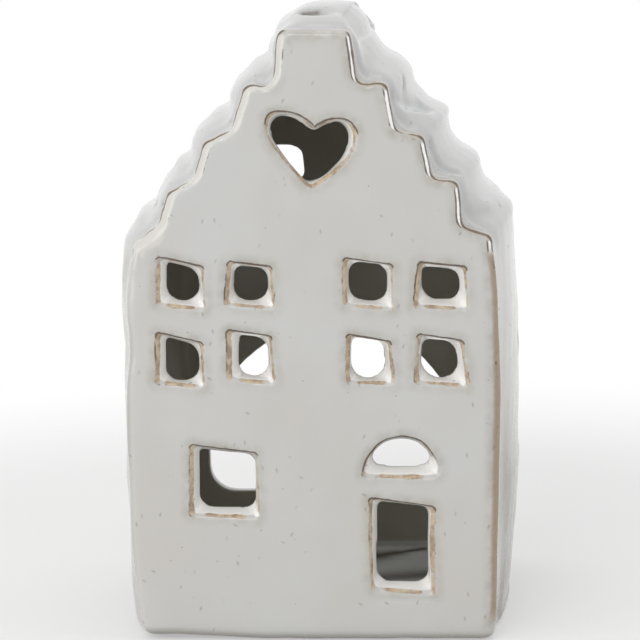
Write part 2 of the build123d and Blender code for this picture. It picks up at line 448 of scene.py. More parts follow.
def block(name: str, low: Sequence[float], high: Sequence[float]) -> Object:
    """Box between its lowest and its highest corner, in millimetres."""
    ring = np.array([(low[0], high[2]), (high[0], high[2]), (high[0], low[2]), (low[0], low[2])])
    return loft(name, [(low[1], ring), (high[1], ring)])


@dataclass(frozen=True)
class Arris:
    """How far a knife took the edge of an opening off, by side, in millimetres."""

    left: float = 0.85
    right: float = 0.65
    top: float = 0.25
    bottom: float = 0.55
    depth: float = 0.9
    pinch: float = 0.35

    def reach(self, directions: np.ndarray) -> np.ndarray:
        """Width of the cut-off edge in millimetres, in each direction of x and z."""
        left, right, top, bottom = side_shares(directions)
        return self.left * left + self.right * right + self.top * top + self.bottom * bottom


@dataclass(frozen=True)
class HandCut:
    """An opening cut by hand in the facade: its mouth in front and its throat behind, in millimetres."""

    name: str
    mouth: Sizes
    throat: Sizes
    radii: tuple[float, ...] = ()
    mouth_round: float = 0.9
    arris: Arris = field(default_factory=Arris)
    gleam: float = 1.0

    def loops(self) -> tuple[np.ndarray, np.ndarray]:
        """Mouth and throat as loops with as many points each.

        Returns:
            The mouth's loop and the throat's loop.
        """
        if self.radii:
            mouth = rounded_loop(self.mouth, (self.mouth_round,) * len(self.mouth))
            return mouth, rounded_loop(self.throat, self.radii)
        return spline_loop(self.mouth), spline_loop(self.throat)

    def cutter(self, front: float, wall: float, overrun: float) -> Object:
        """Solid that the opening takes out of the wall.

        Args:
            front: Y of the facade's face in millimetres.
            wall: The wall's thickness in millimetres.
            overrun: How far the cutter runs past both faces.

        Returns:
            The cutter's object.
        """
        mouth, throat = self.loops()
        out = outward(mouth)
        reach = self.arris.reach(out)[:, None]
        flared = mouth + out * reach
        narrowed = mouth - out * reach * self.arris.pinch
        sections = [
            (front - overrun, flared),
            (front, flared),
            (front + self.arris.depth, narrowed),
            (front + wall, throat),
            (front + wall + overrun, throat),
        ]
        return loft("cutter_" + self.name, sections)

    def plug(self, front: float, wall: float, margin: float) -> Object:
        """Block that fills the opening of the plain wall before the hand-cut one is made.

        Args:
            front: Y of the facade's face in millimetres.
            wall: The wall's thickness in millimetres.
            margin: How far the block reaches past the mouth.

        Returns:
            The block's object.
        """
        corners = np.array(self.mouth)
        low, high = corners.min(0) - margin, corners.max(0) + margin
        return block("plug_" + self.name, (low[0], front, low[1]), (high[0], front + wall, high[1]))


GABLE_SIDE: Sizes = (
    (48.8, 0.0), (50.0, 80.0), (48.1, 108.6), (41.1, 110.6), (39.1, 122.5), (31.7, 124.5),
    (29.7, 135.4), (21.5, 137.4), (19.5, 149.3), (11.7, 151.3), (9.7, 164.1),
)


@dataclass(frozen=True)
class GableEdge:
    """The facade's stepped outline and the edge that the potter's knife took off it, in millimetres.

    The outline runs clockwise: up the left side and down the right one.
    """

    corners: Sizes = tuple((-x, z) for x, z in GABLE_SIDE) + GABLE_SIDE[::-1]
    rounds: tuple[float, ...] = (1.8, 8.0) + (2.6, 3.6) * 4 + (2.4, 2.0) + (1.4, 2.0) * 4 + (8.0, 4.4)
    widths: tuple[float, ...] = (
        1.2, 1.4, 2.6, 2.5, 1.3, 2.4, 1.3, 2.3, 1.2, 2.2, 0.8, 1.1, *((0.6, 1.2) * 4), 1.4, 2.2,
    )
    moves: Sizes = (
        (1.2, 0.0), (1.3, 0.0), (1.2, -0.3), (0.8, 1.2), (0.9, -1.1), (0.4, -0.4), (0.8, -1.0),
        (0.2, -0.4), (1.0, -0.7), (0.8, -2.2), (0.2, -0.9), (-0.4, -1.2), (-0.4, -1.7), (-0.2, -0.4),
        (0.0, -0.5), (-0.7, -0.1), (-0.4, 0.1), (-0.9, 0.8), (-1.5, 1.0), (-0.8, 0.5), (-0.3, 0.0),
        (-1.0, 0.0),
    )
    slope: float = 0.8
    ahead: float = 0.6
    beyond: float = 1.2
    least_round: float = 0.6

    def loop(self, shares: float) -> np.ndarray:
        """Rounded outline, moved inwards by a share of the cut-off widths."""
        return self.rounded([w * shares for w in self.widths])

    def rounded(self, widths: Sequence[float]) -> np.ndarray:
        """Rounds the outline after its sides move in by their own widths.

        Args:
            widths: How far each side moves in.

        Returns:
            The loop's points in x and z.
        """
        corners = inset(np.array(self.corners), widths)
        radii = []
        for k, radius in enumerate(self.rounds):
            mean = (widths[k] + widths[k - 1]) / 2
            before, after = corners[k] - corners[k - 1], corners[(k + 1) % len(corners)] - corners[k]
            valley = before[0] * after[1] > before[1] * after[0]
            radii.append(max(self.least_round, radius + mean if valley else radius - 0.6 * mean))
        return rounded_loop([tuple(c) for c in corners], radii, 8, 6)

    def cutter(self, front: float) -> Object:
        """Ring that takes the edge off the facade.

        Args:
            front: Y of the facade's face in millimetres.

        Returns:
            The ring's object.
        """
        inner = self.rounded([w + self.ahead / self.slope for w in self.widths])
        outer = self.rounded([-self.beyond] * len(self.widths))
        near = front - self.ahead
        far = front + self.depth_along() + self.beyond * self.slope
        rings = [(inner, near), (outer, near), (outer, far)]
        count = len(inner)
        points = [np.stack([loop[:, 0], np.broadcast_to(y, count), loop[:, 1]], 1) for loop, y in rings]
        faces = []
        for k in range(len(rings)):
            faces += ring_faces(k * count, (k + 1) % len(rings) * count, count)
        return add_object("cutter_edge", np.vstack(points) * MM, faces)

    def depth_along(self) -> np.ndarray:
        """How deep the cut reaches at each point of the outline, in millimetres."""
        gaps = np.linalg.norm(self.loop(1.0) - self.loop(0.0), axis=1)
        window = np.ones(5) / 5
        return np.convolve(np.pad(gaps, 2, mode="wrap"), window, mode="valid") * self.slope


FACADE_CUTS: tuple[HandCut, ...] = (
    HandCut("upper_far_left", ((-39.9, 103.9), (-28.6, 101.4), (-28.1, 90.4), (-40.1, 91.8)),
            ((-38.1, 102.2), (-30.0, 99.9), (-30.1, 92.4), (-38.2, 92.4)), (0.4, 3.4, 4.4, 3.9)),
    HandCut("upper_left", ((-21.1, 102.6), (-10.7, 101.3), (-9.9, 90.6), (-22.0, 91.7)),
            ((-20.3, 101.1), (-11.9, 100.4), (-11.8, 92.2), (-20.6, 92.4)), (2.1, 2.9, 3.9, 3.7)),
    HandCut("lower_far_left", ((-40.2, 83.8), (-29.1, 81.1), (-28.5, 69.6), (-40.6, 70.9)),
            ((-38.5, 82.0), (-30.3, 79.5), (-30.2, 70.9), (-38.8, 70.9)), (0.4, 2.9, 3.9, 3.4)),
    HandCut("lower_left", ((-21.4, 84.3), (-10.8, 82.7), (-9.8, 70.5), (-21.4, 71.6)),
            ((-18.9, 82.5), (-12.0, 81.5), (-11.5, 71.9), (-19.5, 72.0)), (0.5, 2.9, 4.2, 3.9)),
    HandCut("upper_right", ((9.3, 103.2), (21.0, 101.5), (21.5, 90.1), (9.3, 91.3)),
            ((9.9, 101.8), (19.6, 101.3), (19.6, 91.7), (10.0, 92.2)), (2.9, 3.4, 3.7, 3.9)),
    HandCut("upper_far_right", ((28.9, 102.0), (40.2, 100.9), (41.1, 90.0), (27.8, 90.8)),
            ((28.9, 100.4), (38.6, 99.6), (38.6, 92.0), (29.5, 92.2)), (1.0, 2.9, 3.4, 4.4)),
    HandCut("lower_right", ((10.2, 83.0), (20.6, 81.1), (21.6, 70.4), (10.0, 70.7)),
            ((10.7, 81.8), (18.7, 80.7), (19.3, 71.4), (10.4, 71.3)), (1.6, 2.4, 4.4, 5.2)),
    HandCut("lower_far_right", ((28.8, 83.0), (39.5, 81.2), (41.2, 69.6), (28.0, 70.6)),
            ((29.4, 81.2), (37.7, 80.4), (38.5, 71.2), (29.0, 71.4)), (2.1, 3.4, 4.7, 5.2)),
    HandCut("shop", ((-31.8, 53.5), (-15.1, 51.4), (-14.4, 34.2), (-32.1, 34.9)),
            ((-30.3, 51.7), (-15.4, 50.1), (-15.6, 35.9), (-30.3, 36.5)), (0.7, 2.9, 3.4, 3.2)),
    HandCut("door", ((15.6, 39.0), (31.6, 36.6), (31.4, 13.4), (15.6, 14.6)),
            ((17.3, 37.2), (30.3, 35.9), (30.0, 15.8), (16.7, 15.8)), (1.2, 2.0, 3.4, 3.4),
            arris=Arris(left=0.6, right=1.1), gleam=0.5),
    HandCut("fanlight",
            ((13.7, 46.2), (14.1, 48.2), (15.3, 50.7), (18.6, 54.3), (23.8, 55.8), (28.5, 54.6),
             (31.7, 51.0), (33.1, 48.6), (33.6, 46.6), (32.9, 45.5), (29.9, 45.1), (23.7, 45.2),
             (17.1, 45.3), (14.4, 45.5)),
            ((16.1, 49.5), (16.3, 50.7), (17.1, 52.1), (19.5, 53.7), (23.5, 54.4), (27.2, 53.7),
             (29.6, 51.9), (30.5, 50.4), (30.5, 49.2), (29.8, 48.0), (27.8, 47.5), (23.5, 47.4),
             (19.0, 47.5), (16.9, 48.1)),
            arris=Arris(left=0.2, right=0.35, top=0.2, bottom=0.65), gleam=0.8),
    HandCut("heart",
            ((-12.0, 138.0), (-11.5, 140.5), (-10.2, 141.7), (-8.5, 142.0), (-6.4, 141.5), (-3.9, 140.4),
             (-1.6, 139.0), (0.3, 137.3), (2.0, 138.4), (4.0, 139.4), (6.2, 139.8), (8.4, 139.1),
             (10.0, 137.6), (10.8, 135.9), (10.6, 133.5), (9.5, 130.9), (7.6, 128.3), (5.0, 126.0),
             (2.3, 124.1), (-0.2, 122.6), (-2.5, 124.5), (-5.2, 127.6), (-7.8, 130.7), (-10.1, 133.4),
             (-11.5, 135.8)),
            ((-11.1, 137.5), (-10.7, 139.1), (-9.7, 140.1), (-8.0, 140.5), (-6.2, 140.1), (-4.5, 139.2),
             (-2.2, 137.6), (-0.1, 136.5), (1.8, 137.3), (3.8, 138.2), (5.7, 138.6), (7.2, 138.1),
             (8.3, 136.8), (8.7, 134.8), (8.4, 132.6), (7.2, 129.8), (5.3, 127.4), (3.1, 125.2),
             (1.2, 124.1), (-0.8, 123.8), (-2.4, 124.0), (-4.8, 126.7), (-7.2, 129.6), (-9.2, 132.6),
             (-10.5, 134.8)),
            arris=Arris(left=0.5, right=0.85, top=0.45, bottom=0.4), gleam=0.0),
)


# Shader nodes


class Board:
    """A node tree with short ways to add and join nodes."""

    def __init__(self, tree: Tree) -> None:
        """Keeps the node tree of a material, a world or a group."""
        self.tree = tree

    def add(self, kind: str, values: dict[str | int, object] | None = None, **settings: object) -> Node:
        """Adds one node.

        Args:
            kind: The node's type, without the ShaderNode in front.
            values: Plain values or sockets for its inputs, by name or number.
            settings: Settings of the node itself.

        Returns:
            The new node.
        """
        full = kind if kind.startswith("Node") else "ShaderNode" + kind
        node = self.tree.nodes.new(full)
        for name, value in settings.items():
            setattr(node, name, value)
        for name, value in (values or {}).items():
            self.feed(node.inputs[name], value)
        return node

    def feed(self, socket: Socket, value: object) -> None:
        """Gives a socket a plain value, or links it to another socket."""
        if isinstance(value, Socket):
            self.tree.links.new(value, socket)
        else:
            socket.default_value = value

    def math(self, how: str, a: object, b: object = 0.0, clamp: bool = False) -> Socket:
        """Sum, product or another operation of two numbers."""
        return self.add("Math", {0: a, 1: b}, operation=how, use_clamp=clamp).outputs[0]

    def ramp(self, value: object, low: float, high: float, start: float = 0.0, end: float = 1.0) -> Socket:
        """Maps a number smoothly from the range low to high to the range start to end."""
        inputs = {0: value, 1: low, 2: high, 3: start, 4: end}
        return self.add("MapRange", inputs, interpolation_type="SMOOTHSTEP").outputs[0]

    def mix(self, share: object, a: object, b: object) -> Socket:
        """Mixes two colours.

        Args:
            share: 0 for the first, 1 for the second.
            a: The first colour or socket.
            b: The second colour or socket.

        Returns:
            The mixed colour's socket.
        """
        node = self.add("Mix", {0: share}, data_type="RGBA")
        for number, value in ((6, a), (7, b)):
            self.feed(node.inputs[number], (*value, 1.0) if isinstance(value, tuple) else value)
        return node.outputs[2]

    def noise(self, where: object, scale: float, detail: float = 2.0, rough: float = 0.5) -> Socket:
        """Cloudy noise, mostly between 0.3 and 0.7, with scale clouds in a metre."""
        inputs = {"Vector": where, "Scale": scale, "Detail": detail, "Roughness": rough}
        return self.add("TexNoise", inputs).outputs[0]

    def chain(self, how: str, values: Sequence[object]) -> Socket:
        """Joins several numbers by one operation, from the first to the last.

        Args:
            how: The operation, such as MULTIPLY.
            values: Numbers or sockets.

        Returns:
            The result's socket.
        """
        total = values[0]
        for value in values[1:]:
            total = self.math(how, total, value)
        return total

    def times(self, *factors: object) -> Socket:
        """Product of several numbers."""
        return self.chain("MULTIPLY", factors)

    def most(self, *values: object) -> Socket:
        """Highest of several numbers."""
        return self.chain("MAXIMUM", values)

    def plus(self, *values: object) -> Socket:
        """Sum of several numbers."""
        return self.chain("ADD", values)

    def minus(self, *values: object) -> Socket:
        """The first number without the others."""
        return self.chain("SUBTRACT", values)

    def cells(self, where: object, scale: object) -> tuple[Socket, Socket, Socket]:
        """Scattered cells.

        Args:
            where: The coordinates' socket.
            scale: Cells in a metre.

        Returns:
            The distance from the cell's middle, and two numbers that differ from cell to cell.
        """
        node = self.add("TexVoronoi", {"Vector": where, "Scale": scale, "Randomness": 1.0})
        chances = self.add("SeparateColor", {0: node.outputs["Color"]}).outputs
        return node.outputs["Distance"], chances[0], chances[1]

    def length(self, a: object, b: object) -> Socket:
        """Length of a vector with two parts."""
        joined = self.add("CombineXYZ", {0: a, 1: b}).outputs[0]
        return self.add("VectorMath", {0: joined}, operation="LENGTH").outputs["Value"]

    def mask(self, name: str) -> Socket:
        """A number that the mesh carries at each point."""
        return self.add("Attribute", attribute_name=name).outputs["Fac"]

    def place(self) -> Socket:
        """The point's place on the piece, in metres."""
        return self.add("TexCoord").outputs["Object"]


def new_group(
    name: str, inputs: dict[str, float | None], outputs: Sequence[str]
) -> tuple[Board, bpy.types.NodeOutputs, Node]:
    """Starts a shader node group.

    Args:
        name: The group's name.
        inputs: Each input's default: a number, or None for a vector.
        outputs: The names of the numbers that it gives.

    Returns:
        The group's board, its given sockets by name, and its output node.
    """
    tree = bpy.data.node_groups.new(name, "ShaderNodeTree")
    for title, value in inputs.items():
        kind = "NodeSocketVector" if value is None else "NodeSocketFloat"
        socket = tree.interface.new_socket(title, in_out="INPUT", socket_type=kind)
        if value is not None:
            socket.default_value = value
    for title in outputs:
        tree.interface.new_socket(title, in_out="OUTPUT", socket_type="NodeSocketFloat")
    board = Board(tree)
    return board, board.add("NodeGroupInput").outputs, board.add("NodeGroupOutput")


def mottle_group() -> Tree:
    """Cloudy unevenness at two sizes, shared by the glaze, the wax and the metal.

    Returns:
        A group from Place, Large and Small to Cloud and Grain.
    """
    inputs = {"Place": None, "Large": 60.0, "Small": 600.0}
    board, given, out = new_group("Mottle", inputs, ("Cloud", "Grain"))
    for title, size in (("Cloud", "Large"), ("Grain", "Small")):
        board.feed(out.inputs[title], board.ramp(board.noise(given["Place"], given[size], 3.0), 0.3, 0.7))
    return board.tree


def speck_group() -> Tree:
    """Scattered round specks of uneven size.

    Returns:
        A group from Place, Scale, Size and Share to Specks.
    """
    inputs = {"Place": None, "Scale": 150.0, "Size": 0.12, "Share": 0.3}
    board, given, out = new_group("Specks", inputs, ("Specks",))
    distance, chance, second = board.cells(given["Place"], given["Scale"])
    kept = board.math("LESS_THAN", chance, given["Share"])
    wide = board.times(given["Size"], board.plus(0.35, second))
    near = board.math("SUBTRACT", 1.0, board.math("DIVIDE", distance, wide), clamp=True)
    board.feed(out.inputs["Specks"], board.times(kept, board.ramp(near, 0.0, 0.5)))
    return board.tree


def scratch_group() -> Tree:
    """Short slanting marks, as left in soft clay under the glaze.

    Returns:
        A group from Place, Scale and Share to Scratches.
    """
    inputs = {"Place": None, "Scale": 90.0, "Share": 0.2}
    board, given, out = new_group("Scratches", inputs, ("Scratches",))
    rarity = board.times(given["Share"], 0.4)
    layers = []
    for tilt in (-24.0, 8.0, 62.0):
        turned = board.add("Mapping", {0: given["Place"], "Rotation": (0.0, math.radians(tilt), 0.0)})
        drawn = board.add("Mapping", {0: turned.outputs[0], "Scale": (3.0, 1.0, 1.35)})
        distance, chance, second = board.cells(drawn.outputs[0], given["Scale"])
        kept = board.math("LESS_THAN", chance, rarity)
        strength = board.ramp(second, 0.0, 1.0, 0.4, 1.0)
        layers.append(board.times(kept, board.ramp(distance, 0.26, 0.04), strength))
    board.feed(out.inputs["Scratches"], board.most(*layers))
    return board.tree


def break_group() -> Tree:
    """Glaze that runs thin on an arris and lets the brown clay through, in patches.

    Returns:
        A group from Place, Edge, Width and Patchiness to Thin.
    """
    inputs = {"Place": None, "Edge": 0.0, "Width": 0.5, "Patchiness": 0.5}
    board, given, out = new_group("GlazeBreak", inputs, ("Thin",))
    coarse, fine = (board.noise(given["Place"], scale) for scale in (170.0, 900.0))
    clouds = board.minus(board.plus(board.times(coarse, 0.7), board.times(fine, 0.3)), 0.5)
    uneven = board.times(clouds, given["Patchiness"], 4.0)
    level = board.minus(board.plus(given["Edge"], uneven), given["Width"])
    thin = board.times(board.ramp(level, 0.0, 0.35), board.ramp(given["Edge"], 0.02, 0.2))
    board.feed(out.inputs["Thin"], thin)
    return board.tree


@dataclass(frozen=True)
class Groups:
    """The node groups that the finishes share."""

    mottle: Tree = field(default_factory=mottle_group)
    specks: Tree = field(default_factory=speck_group)
    scratches: Tree = field(default_factory=scratch_group)
    breaks: Tree = field(default_factory=break_group)

    def use(self, board: Board, which: str, place: Socket, **values: object) -> bpy.types.NodeOutputs:
        """Places one group in a material.

        Args:
            board: The material's board.
            which: The group's field name.
            place: The place's socket.
            values: Values or sockets for the group's other inputs.

        Returns:
            What the group gives, by name or number.
        """
        node = board.add("Group", node_tree=getattr(self, which))
        for name, value in {"Place": place, **values}.items():
            board.feed(node.inputs[name], value)
        return node.outputs


def srgb(*levels: float) -> Rgb:
    """Turns red, green and blue as a screen shows them, from 0 to 255, into linear light."""
    shares = [level / 255.0 for level in levels]
    return tuple(s / 12.92 if s <= 0.04045 else ((s + 0.055) / 1.055) ** 2.4 for s in shares)


def new_material(name: str) -> tuple[Material, Board, Node]:
    """Starts a material with one Principled shader.

    Args:
        name: The material's name.

    Returns:
        The material, its board and the shader node.
    """
    material = bpy.data.materials.new(name)
    material.use_nodes = True
    material.node_tree.nodes.clear()
    board = Board(material.node_tree)
    shader = board.add("BsdfPrincipled")
    board.add("OutputMaterial", {"Surface": shader.outputs[0]})
    return material, board, shader


# Finishes


@dataclass(frozen=True)
class GlazedStoneware:
    """Glossy off-white glaze over brown clay. The front and all bands in millimetres, heights in metres."""

    glaze: Rgb = srgb(202, 202, 200)
    glaze_warm: Rgb = srgb(201, 198, 193)
    # Painted shade: the roofs' glaze a little darker and cooler.
    roof_shade_tone: Rgb = srgb(193, 193, 193)
    pooled: Rgb = srgb(214, 217, 218)
    # Painted highlight on the openings' reveals, over thick white glaze.
    reveal_highlight: Rgb = srgb(247, 245, 241)
    # Painted highlights in the openings' corners and at the right shoulder.
    gleam: Rgb = srgb(255, 255, 254)
    # Painted highlight on the left gable's bevel and at its shoulder.
    bevel_highlight: Rgb = srgb(212, 209, 203)
    ochre: Rgb = srgb(203, 182, 152)
    brown: Rgb = srgb(158, 131, 103)
    arris: Rgb = srgb(165, 149, 131)
    clay: Rgb = srgb(88, 74, 60)
    # Painted shade along the facade's right edge and round the openings, with soft smudges.
    smudge_and_shade: Rgb = srgb(166, 160, 148)
    # Painted shade at the foot and on the side walls.
    painted_shade_tone: Rgb = srgb(143, 139, 130)
    speck: Rgb = srgb(104, 97, 82)
    pale_speck: Rgb = srgb(226, 226, 222)
    chamber: Rgb = srgb(191, 187, 175)
    # Painted light on the chamber's floor, as if lit through the back arch.
    chamber_floor_light: Rgb = srgb(248, 251, 252)
    front: float = -45.0
    roughness: float = 0.13
    ior: float = 1.54
    ripple: float = 0.18 * MM
    inner_ripple: float = 0.05 * MM
    grain: float = 0.01 * MM
    pit: float = 0.08 * MM

    def opening_marks(self, board: Board, depth: Socket, wobble: Socket) -> dict[str, Socket]:
        """Works out the bands round the openings from the distances that the mesh carries.

        Args:
            board: The material's board.
            depth: How far behind the facade's face the point lies.
            wobble: How far the bands stray from their true places.

        Returns:
            Masks named ochre, line, halo, reveal and gleam.
        """
        gap, reach = board.plus(board.mask("gap"), wobble), board.mask("reach")
        share = board.math("DIVIDE", gap, reach)
        shallow = board.ramp(depth, 0.9, 0.4)
        line = board.ramp(board.math("ABSOLUTE", board.plus(gap, 0.02)), 0.42, 0.1)
        ochre = board.times(board.ramp(share, -1.9, -1.1), board.ramp(share, 0.35, -0.55))
        throat = board.ramp(board.plus(gap, reach), 0.5, 0.1)
        return {
            "ochre": board.times(ochre, board.ramp(depth, 1.9, 1.0), board.mask("ochre")),
            "line": board.times(line, shallow, board.mask("line")),
            "halo": board.times(board.ramp(gap, 3.2, 0.1), shallow, board.mask("halo")),
            # The reveals carry a painted highlight.
            "reveal": board.times(board.ramp(depth, 0.8, 1.3), throat),
            "gleam": board.ramp(board.plus(board.mask("gleam"), wobble), 0.32, 0.75, 0.0, 0.85),
        }

    def rim_marks(self, board: Board, depth: Socket) -> dict[str, Socket]:
        """Works out the bands along the facade's cut-off edge.

        Args:
            board: The material's board.
            depth: How far behind the facade's face the point lies.

        Returns:
            Masks named white, gleam, band, ochre, line and halo.
        """
        within, past = board.mask("rim_in"), board.minus(depth, board.mask("rim_depth"))
        bevel = board.times(board.ramp(within, -0.12, 0.12), board.ramp(past, 0.45, 0.1))
        back = board.length(board.mask("rim_out"), past)
        outer = board.times(board.ramp(back, 0.85, 0.25), board.mask("rim_line"))
        inner = board.times(board.ramp(board.length(within, depth), 0.5, 0.1), board.mask("rim_brink"))
        wide = board.times(board.ramp(within, -0.8, 0.4), board.ramp(past, 0.7, 0.1))
        beside = board.most(board.ramp(within, -3.4, -0.2), board.ramp(back, 2.2, 0.5))
        return {
            # White is a painted highlight on the left gable's bevel.
            "white": board.times(bevel, board.mask("rim_highlight")),
            "gleam": board.times(bevel, board.mask("rim_gleam")),
            "band": board.times(wide, board.mask("rim_band")),
            "ochre": board.times(board.ramp(back, 1.1, 0.3), board.mask("rim_ochre")),
            "line": board.most(outer, inner),
            "halo": board.times(beside, board.mask("rim_halo")),
        }

    def dirt(self, board: Board, groups: Groups, place: Socket) -> Socket:
        """Builds the dark specks and short marks.

        Args:
            board: The material's board.
            groups: The shared node groups.
            place: The place's socket.

        Returns:
            The mask's socket.
        """
        small = groups.use(board, "specks", place, Scale=330.0, Size=0.17, Share=0.2)[0]
        marks = groups.use(board, "scratches", place, Scale=185.0, Share=0.13)[0]
        return board.most(board.times(small, 0.75), board.times(marks, 0.7))

    def material(self, groups: Groups) -> Material:
        """Builds the glaze.

        Args:
            groups: The shared node groups.

        Returns:
            The material, which reads the distances and strengths that the ceramic pieces carry.
        """
        material, board, shader = new_material("glazed_stoneware")
        place = board.place()
        across = board.add("SeparateXYZ", {0: place}).outputs[1]
        depth = board.minus(board.times(across, 1.0 / MM), self.front)
        wobble = board.times(board.minus(board.noise(place, 420.0, 3.0, 0.6), 0.5), 0.55)
        opening, rim = self.opening_marks(board, depth, wobble), self.rim_marks(board, depth)
        edge = board.most(opening["ochre"], rim["ochre"], board.mask("worn"))
        broken = groups.use(board, "breaks", place, Edge=edge, Width=0.4, Patchiness=0.6)[0]
        patches = board.times(broken, 0.88)
        lines = board.most(opening["line"], rim["line"])
        thin = groups.use(board, "breaks", place, Edge=lines, Width=0.25, Patchiness=0.4)[0]
        soft = board.ramp(board.noise(place, 260.0, 3.0, 0.6), 0.32, 0.68, 0.25, 1.0)
        streak = board.ramp(board.noise(place, 520.0, 3.0, 0.6), 0.3, 0.7, 0.0, 0.5)
        rust = board.ramp(board.noise(place, 420.0, 3.0, 0.65), 0.38, 0.64)
        pits = groups.use(board, "specks", place, Scale=520.0, Size=0.3, Share=0.22)[0]
        pale = groups.use(board, "specks", place, Scale=330.0, Size=0.18, Share=0.07)[0]
        dirt = self.dirt(board, groups, place)
        coats = (
            # Painted shade along the right edge and round the openings, with soft smudges.
            (board.times(board.most(opening["halo"], rim["halo"]), soft, 0.62), self.smudge_and_shade),
            # Painted shade at the foot and on the side walls.
            (board.mask("painted_shade"), self.painted_shade_tone),
            # Painted highlight on the openings' reveals.
            (opening["reveal"], self.reveal_highlight),
            # Painted highlight on the left gable's bevel.
            (rim["white"], self.bevel_highlight),
            (rim["gleam"], self.gleam),
            (rim["band"], board.mix(streak, self.arris, self.brown)),
            (board.times(rim["band"], pits, 0.8), self.clay),
            (patches, board.mix(rust, self.ochre, self.brown)),
            (board.times(thin, 0.85), self.clay),
            # Painted highlight at the left shoulder.
            (board.mask("shoulder_highlight"), self.bevel_highlight),
            (opening["gleam"], self.gleam),
            (board.times(pale, 0.6), self.pale_speck),
            (board.times(dirt, 0.62), self.speck),
            # The chamber's glaze, with painted light on its floor.
            (board.mask("inside"), board.mix(board.mask("chamber_floor_light"), self.chamber, self.chamber_floor_light)),
            # Clay colour in cracks and pinholes; painted shade and shadow in folds, on the chamber's floor
            # and in the smoke hole.
            (board.mask("crack_and_shade"), self.clay),
        )
        colour = self.body(board, groups, place)
        for share, coat in coats:
            colour = board.mix(share, colour, coat)
        thinned = board.most(patches, rim["band"])
        rough = board.ramp(board.noise(place, 500.0), 0.3, 0.7, self.roughness - 0.03, self.roughness + 0.05)
        rough = board.plus(rough, board.times(board.mask("inside"), 0.08), board.times(thinned, 0.22))
        board.feed(shader.inputs["Base Color"], colour)
        board.feed(shader.inputs["Roughness"], rough)
        board.feed(shader.inputs["IOR"], self.ior)
        board.feed(shader.inputs["Normal"], self.relief(board, place, dirt, thinned))
        return material

    def body(self, board: Board, groups: Groups, place: Socket) -> Socket:
        """Builds the even stretches of the glaze.

        Args:
            board: The material's board.
            groups: The shared node groups.
            place: The place's socket.

        Returns:
            The colour's socket.
        """
        clouds = groups.use(board, "mottle", place, Large=32.0, Small=300.0)["Cloud"]
        colour = board.mix(clouds, self.glaze, self.glaze_warm)
        # Painted shade on the roofs, darker and cooler.
        colour = board.mix(board.times(board.mask("flanks"), 0.85), colour, self.roof_shade_tone)
        return board.mix(board.mask("hollow"), colour, self.pooled)

    def relief(self, board: Board, place: Socket, dirt: Socket, thinned: Socket) -> Socket:
        """Builds the glaze's slight ripples, pits and thin places, with heights in metres.

        Args:
            board: The material's board.
            place: The place's socket.
            dirt: Where specks and marks lie.
            thinned: Where the glaze is thin.

        Returns:
            The normal's socket.
        """
        calm = board.ramp(board.mask("inside"), 0.0, 1.0, self.ripple, self.inner_ripple)
        ripple, grain = board.noise(place, 150.0), board.noise(place, 900.0, 1.0)
        height = board.plus(board.times(ripple, calm), board.times(grain, self.grain))
        height = board.minus(height, board.times(dirt, self.pit), board.times(thinned, self.pit))
        return board.add("Bump", {"Height": height, "Strength": 1.0, "Distance": 1.0}).outputs[0]


@dataclass(frozen=True)
class CandleFinish:
    """What the finishes of the tealight share: two mottled colours, a sheen and a fine bump."""

    name: str
    colour: Rgb
    second: Rgb
    clouds: float
    grains: float
    sheen: Point
    metallic: float = 0.0
    scatter: float = 0.0
    scatter_depth: float = 0.002
    bump: float = 0.0
    bump_depth: float = 0.0002
    bump_scale: float | None = None

    def material(self, groups: Groups) -> Material:
        """Builds the finish.

        Args:
            groups: The shared node groups.

        Returns:
            The material.
        """
        material, board, shader = new_material(self.name)
        place = board.place()
        mottle = groups.use(board, "mottle", place, Large=self.clouds, Small=self.grains)
        board.feed(shader.inputs["Base Color"], board.mix(mottle["Cloud"], self.colour, self.second))
        board.feed(shader.inputs["Roughness"], board.ramp(mottle["Grain"], 0.0, 1.0, *self.sheen))
        board.feed(shader.inputs["Metallic"], self.metallic)
        if self.scatter:
            board.feed(shader.inputs["Subsurface Weight"], self.scatter)
            board.feed(shader.inputs["Subsurface Scale"], self.scatter_depth)
        if self.bump:
            height = board.noise(place, self.bump_scale) if self.bump_scale else mottle["Grain"]
            values = {"Height": height, "Strength": self.bump, "Distance": self.bump_depth}
            board.feed(shader.inputs["Normal"], board.add("Bump", values).outputs[0])
        return material


@dataclass(frozen=True)
class PressedAluminium(CandleFinish):
    """Thin bright sheet of the tealight's cup, faintly uneven."""

    name: str = "cup_aluminium"
    colour: Rgb = srgb(214, 215, 217)
    second: Rgb = srgb(176, 177, 180)
    clouds: float = 180.0
    grains: float = 2400.0
    sheen: Point = (0.24, 0.36)
    metallic: float = 1.0
    bump: float = 0.3
    bump_scale: float | None = 900.0


@dataclass(frozen=True)
class CandleWax(CandleFinish):
    """White paraffin with faint crystals and a waxy sheen."""

    name: str = "candle_wax"
    colour: Rgb = srgb(240, 237, 226)
    second: Rgb = srgb(228, 223, 208)
    clouds: float = 260.0
    grains: float = 1500.0
    sheen: Point = (0.38, 0.52)
    scatter: float = 0.3
    bump: float = 0.25
    bump_depth: float = 0.0003


@dataclass(frozen=True)
class TinnedSteel(CandleFinish):
    """Small pressed tab that holds the wick."""

    name: str = "tab_steel"
    colour: Rgb = srgb(168, 168, 170)
    second: Rgb = srgb(128, 124, 118)
    clouds: float = 500.0
    grains: float = 3000.0
    sheen: Point = (0.3, 0.45)
    metallic: float = 1.0


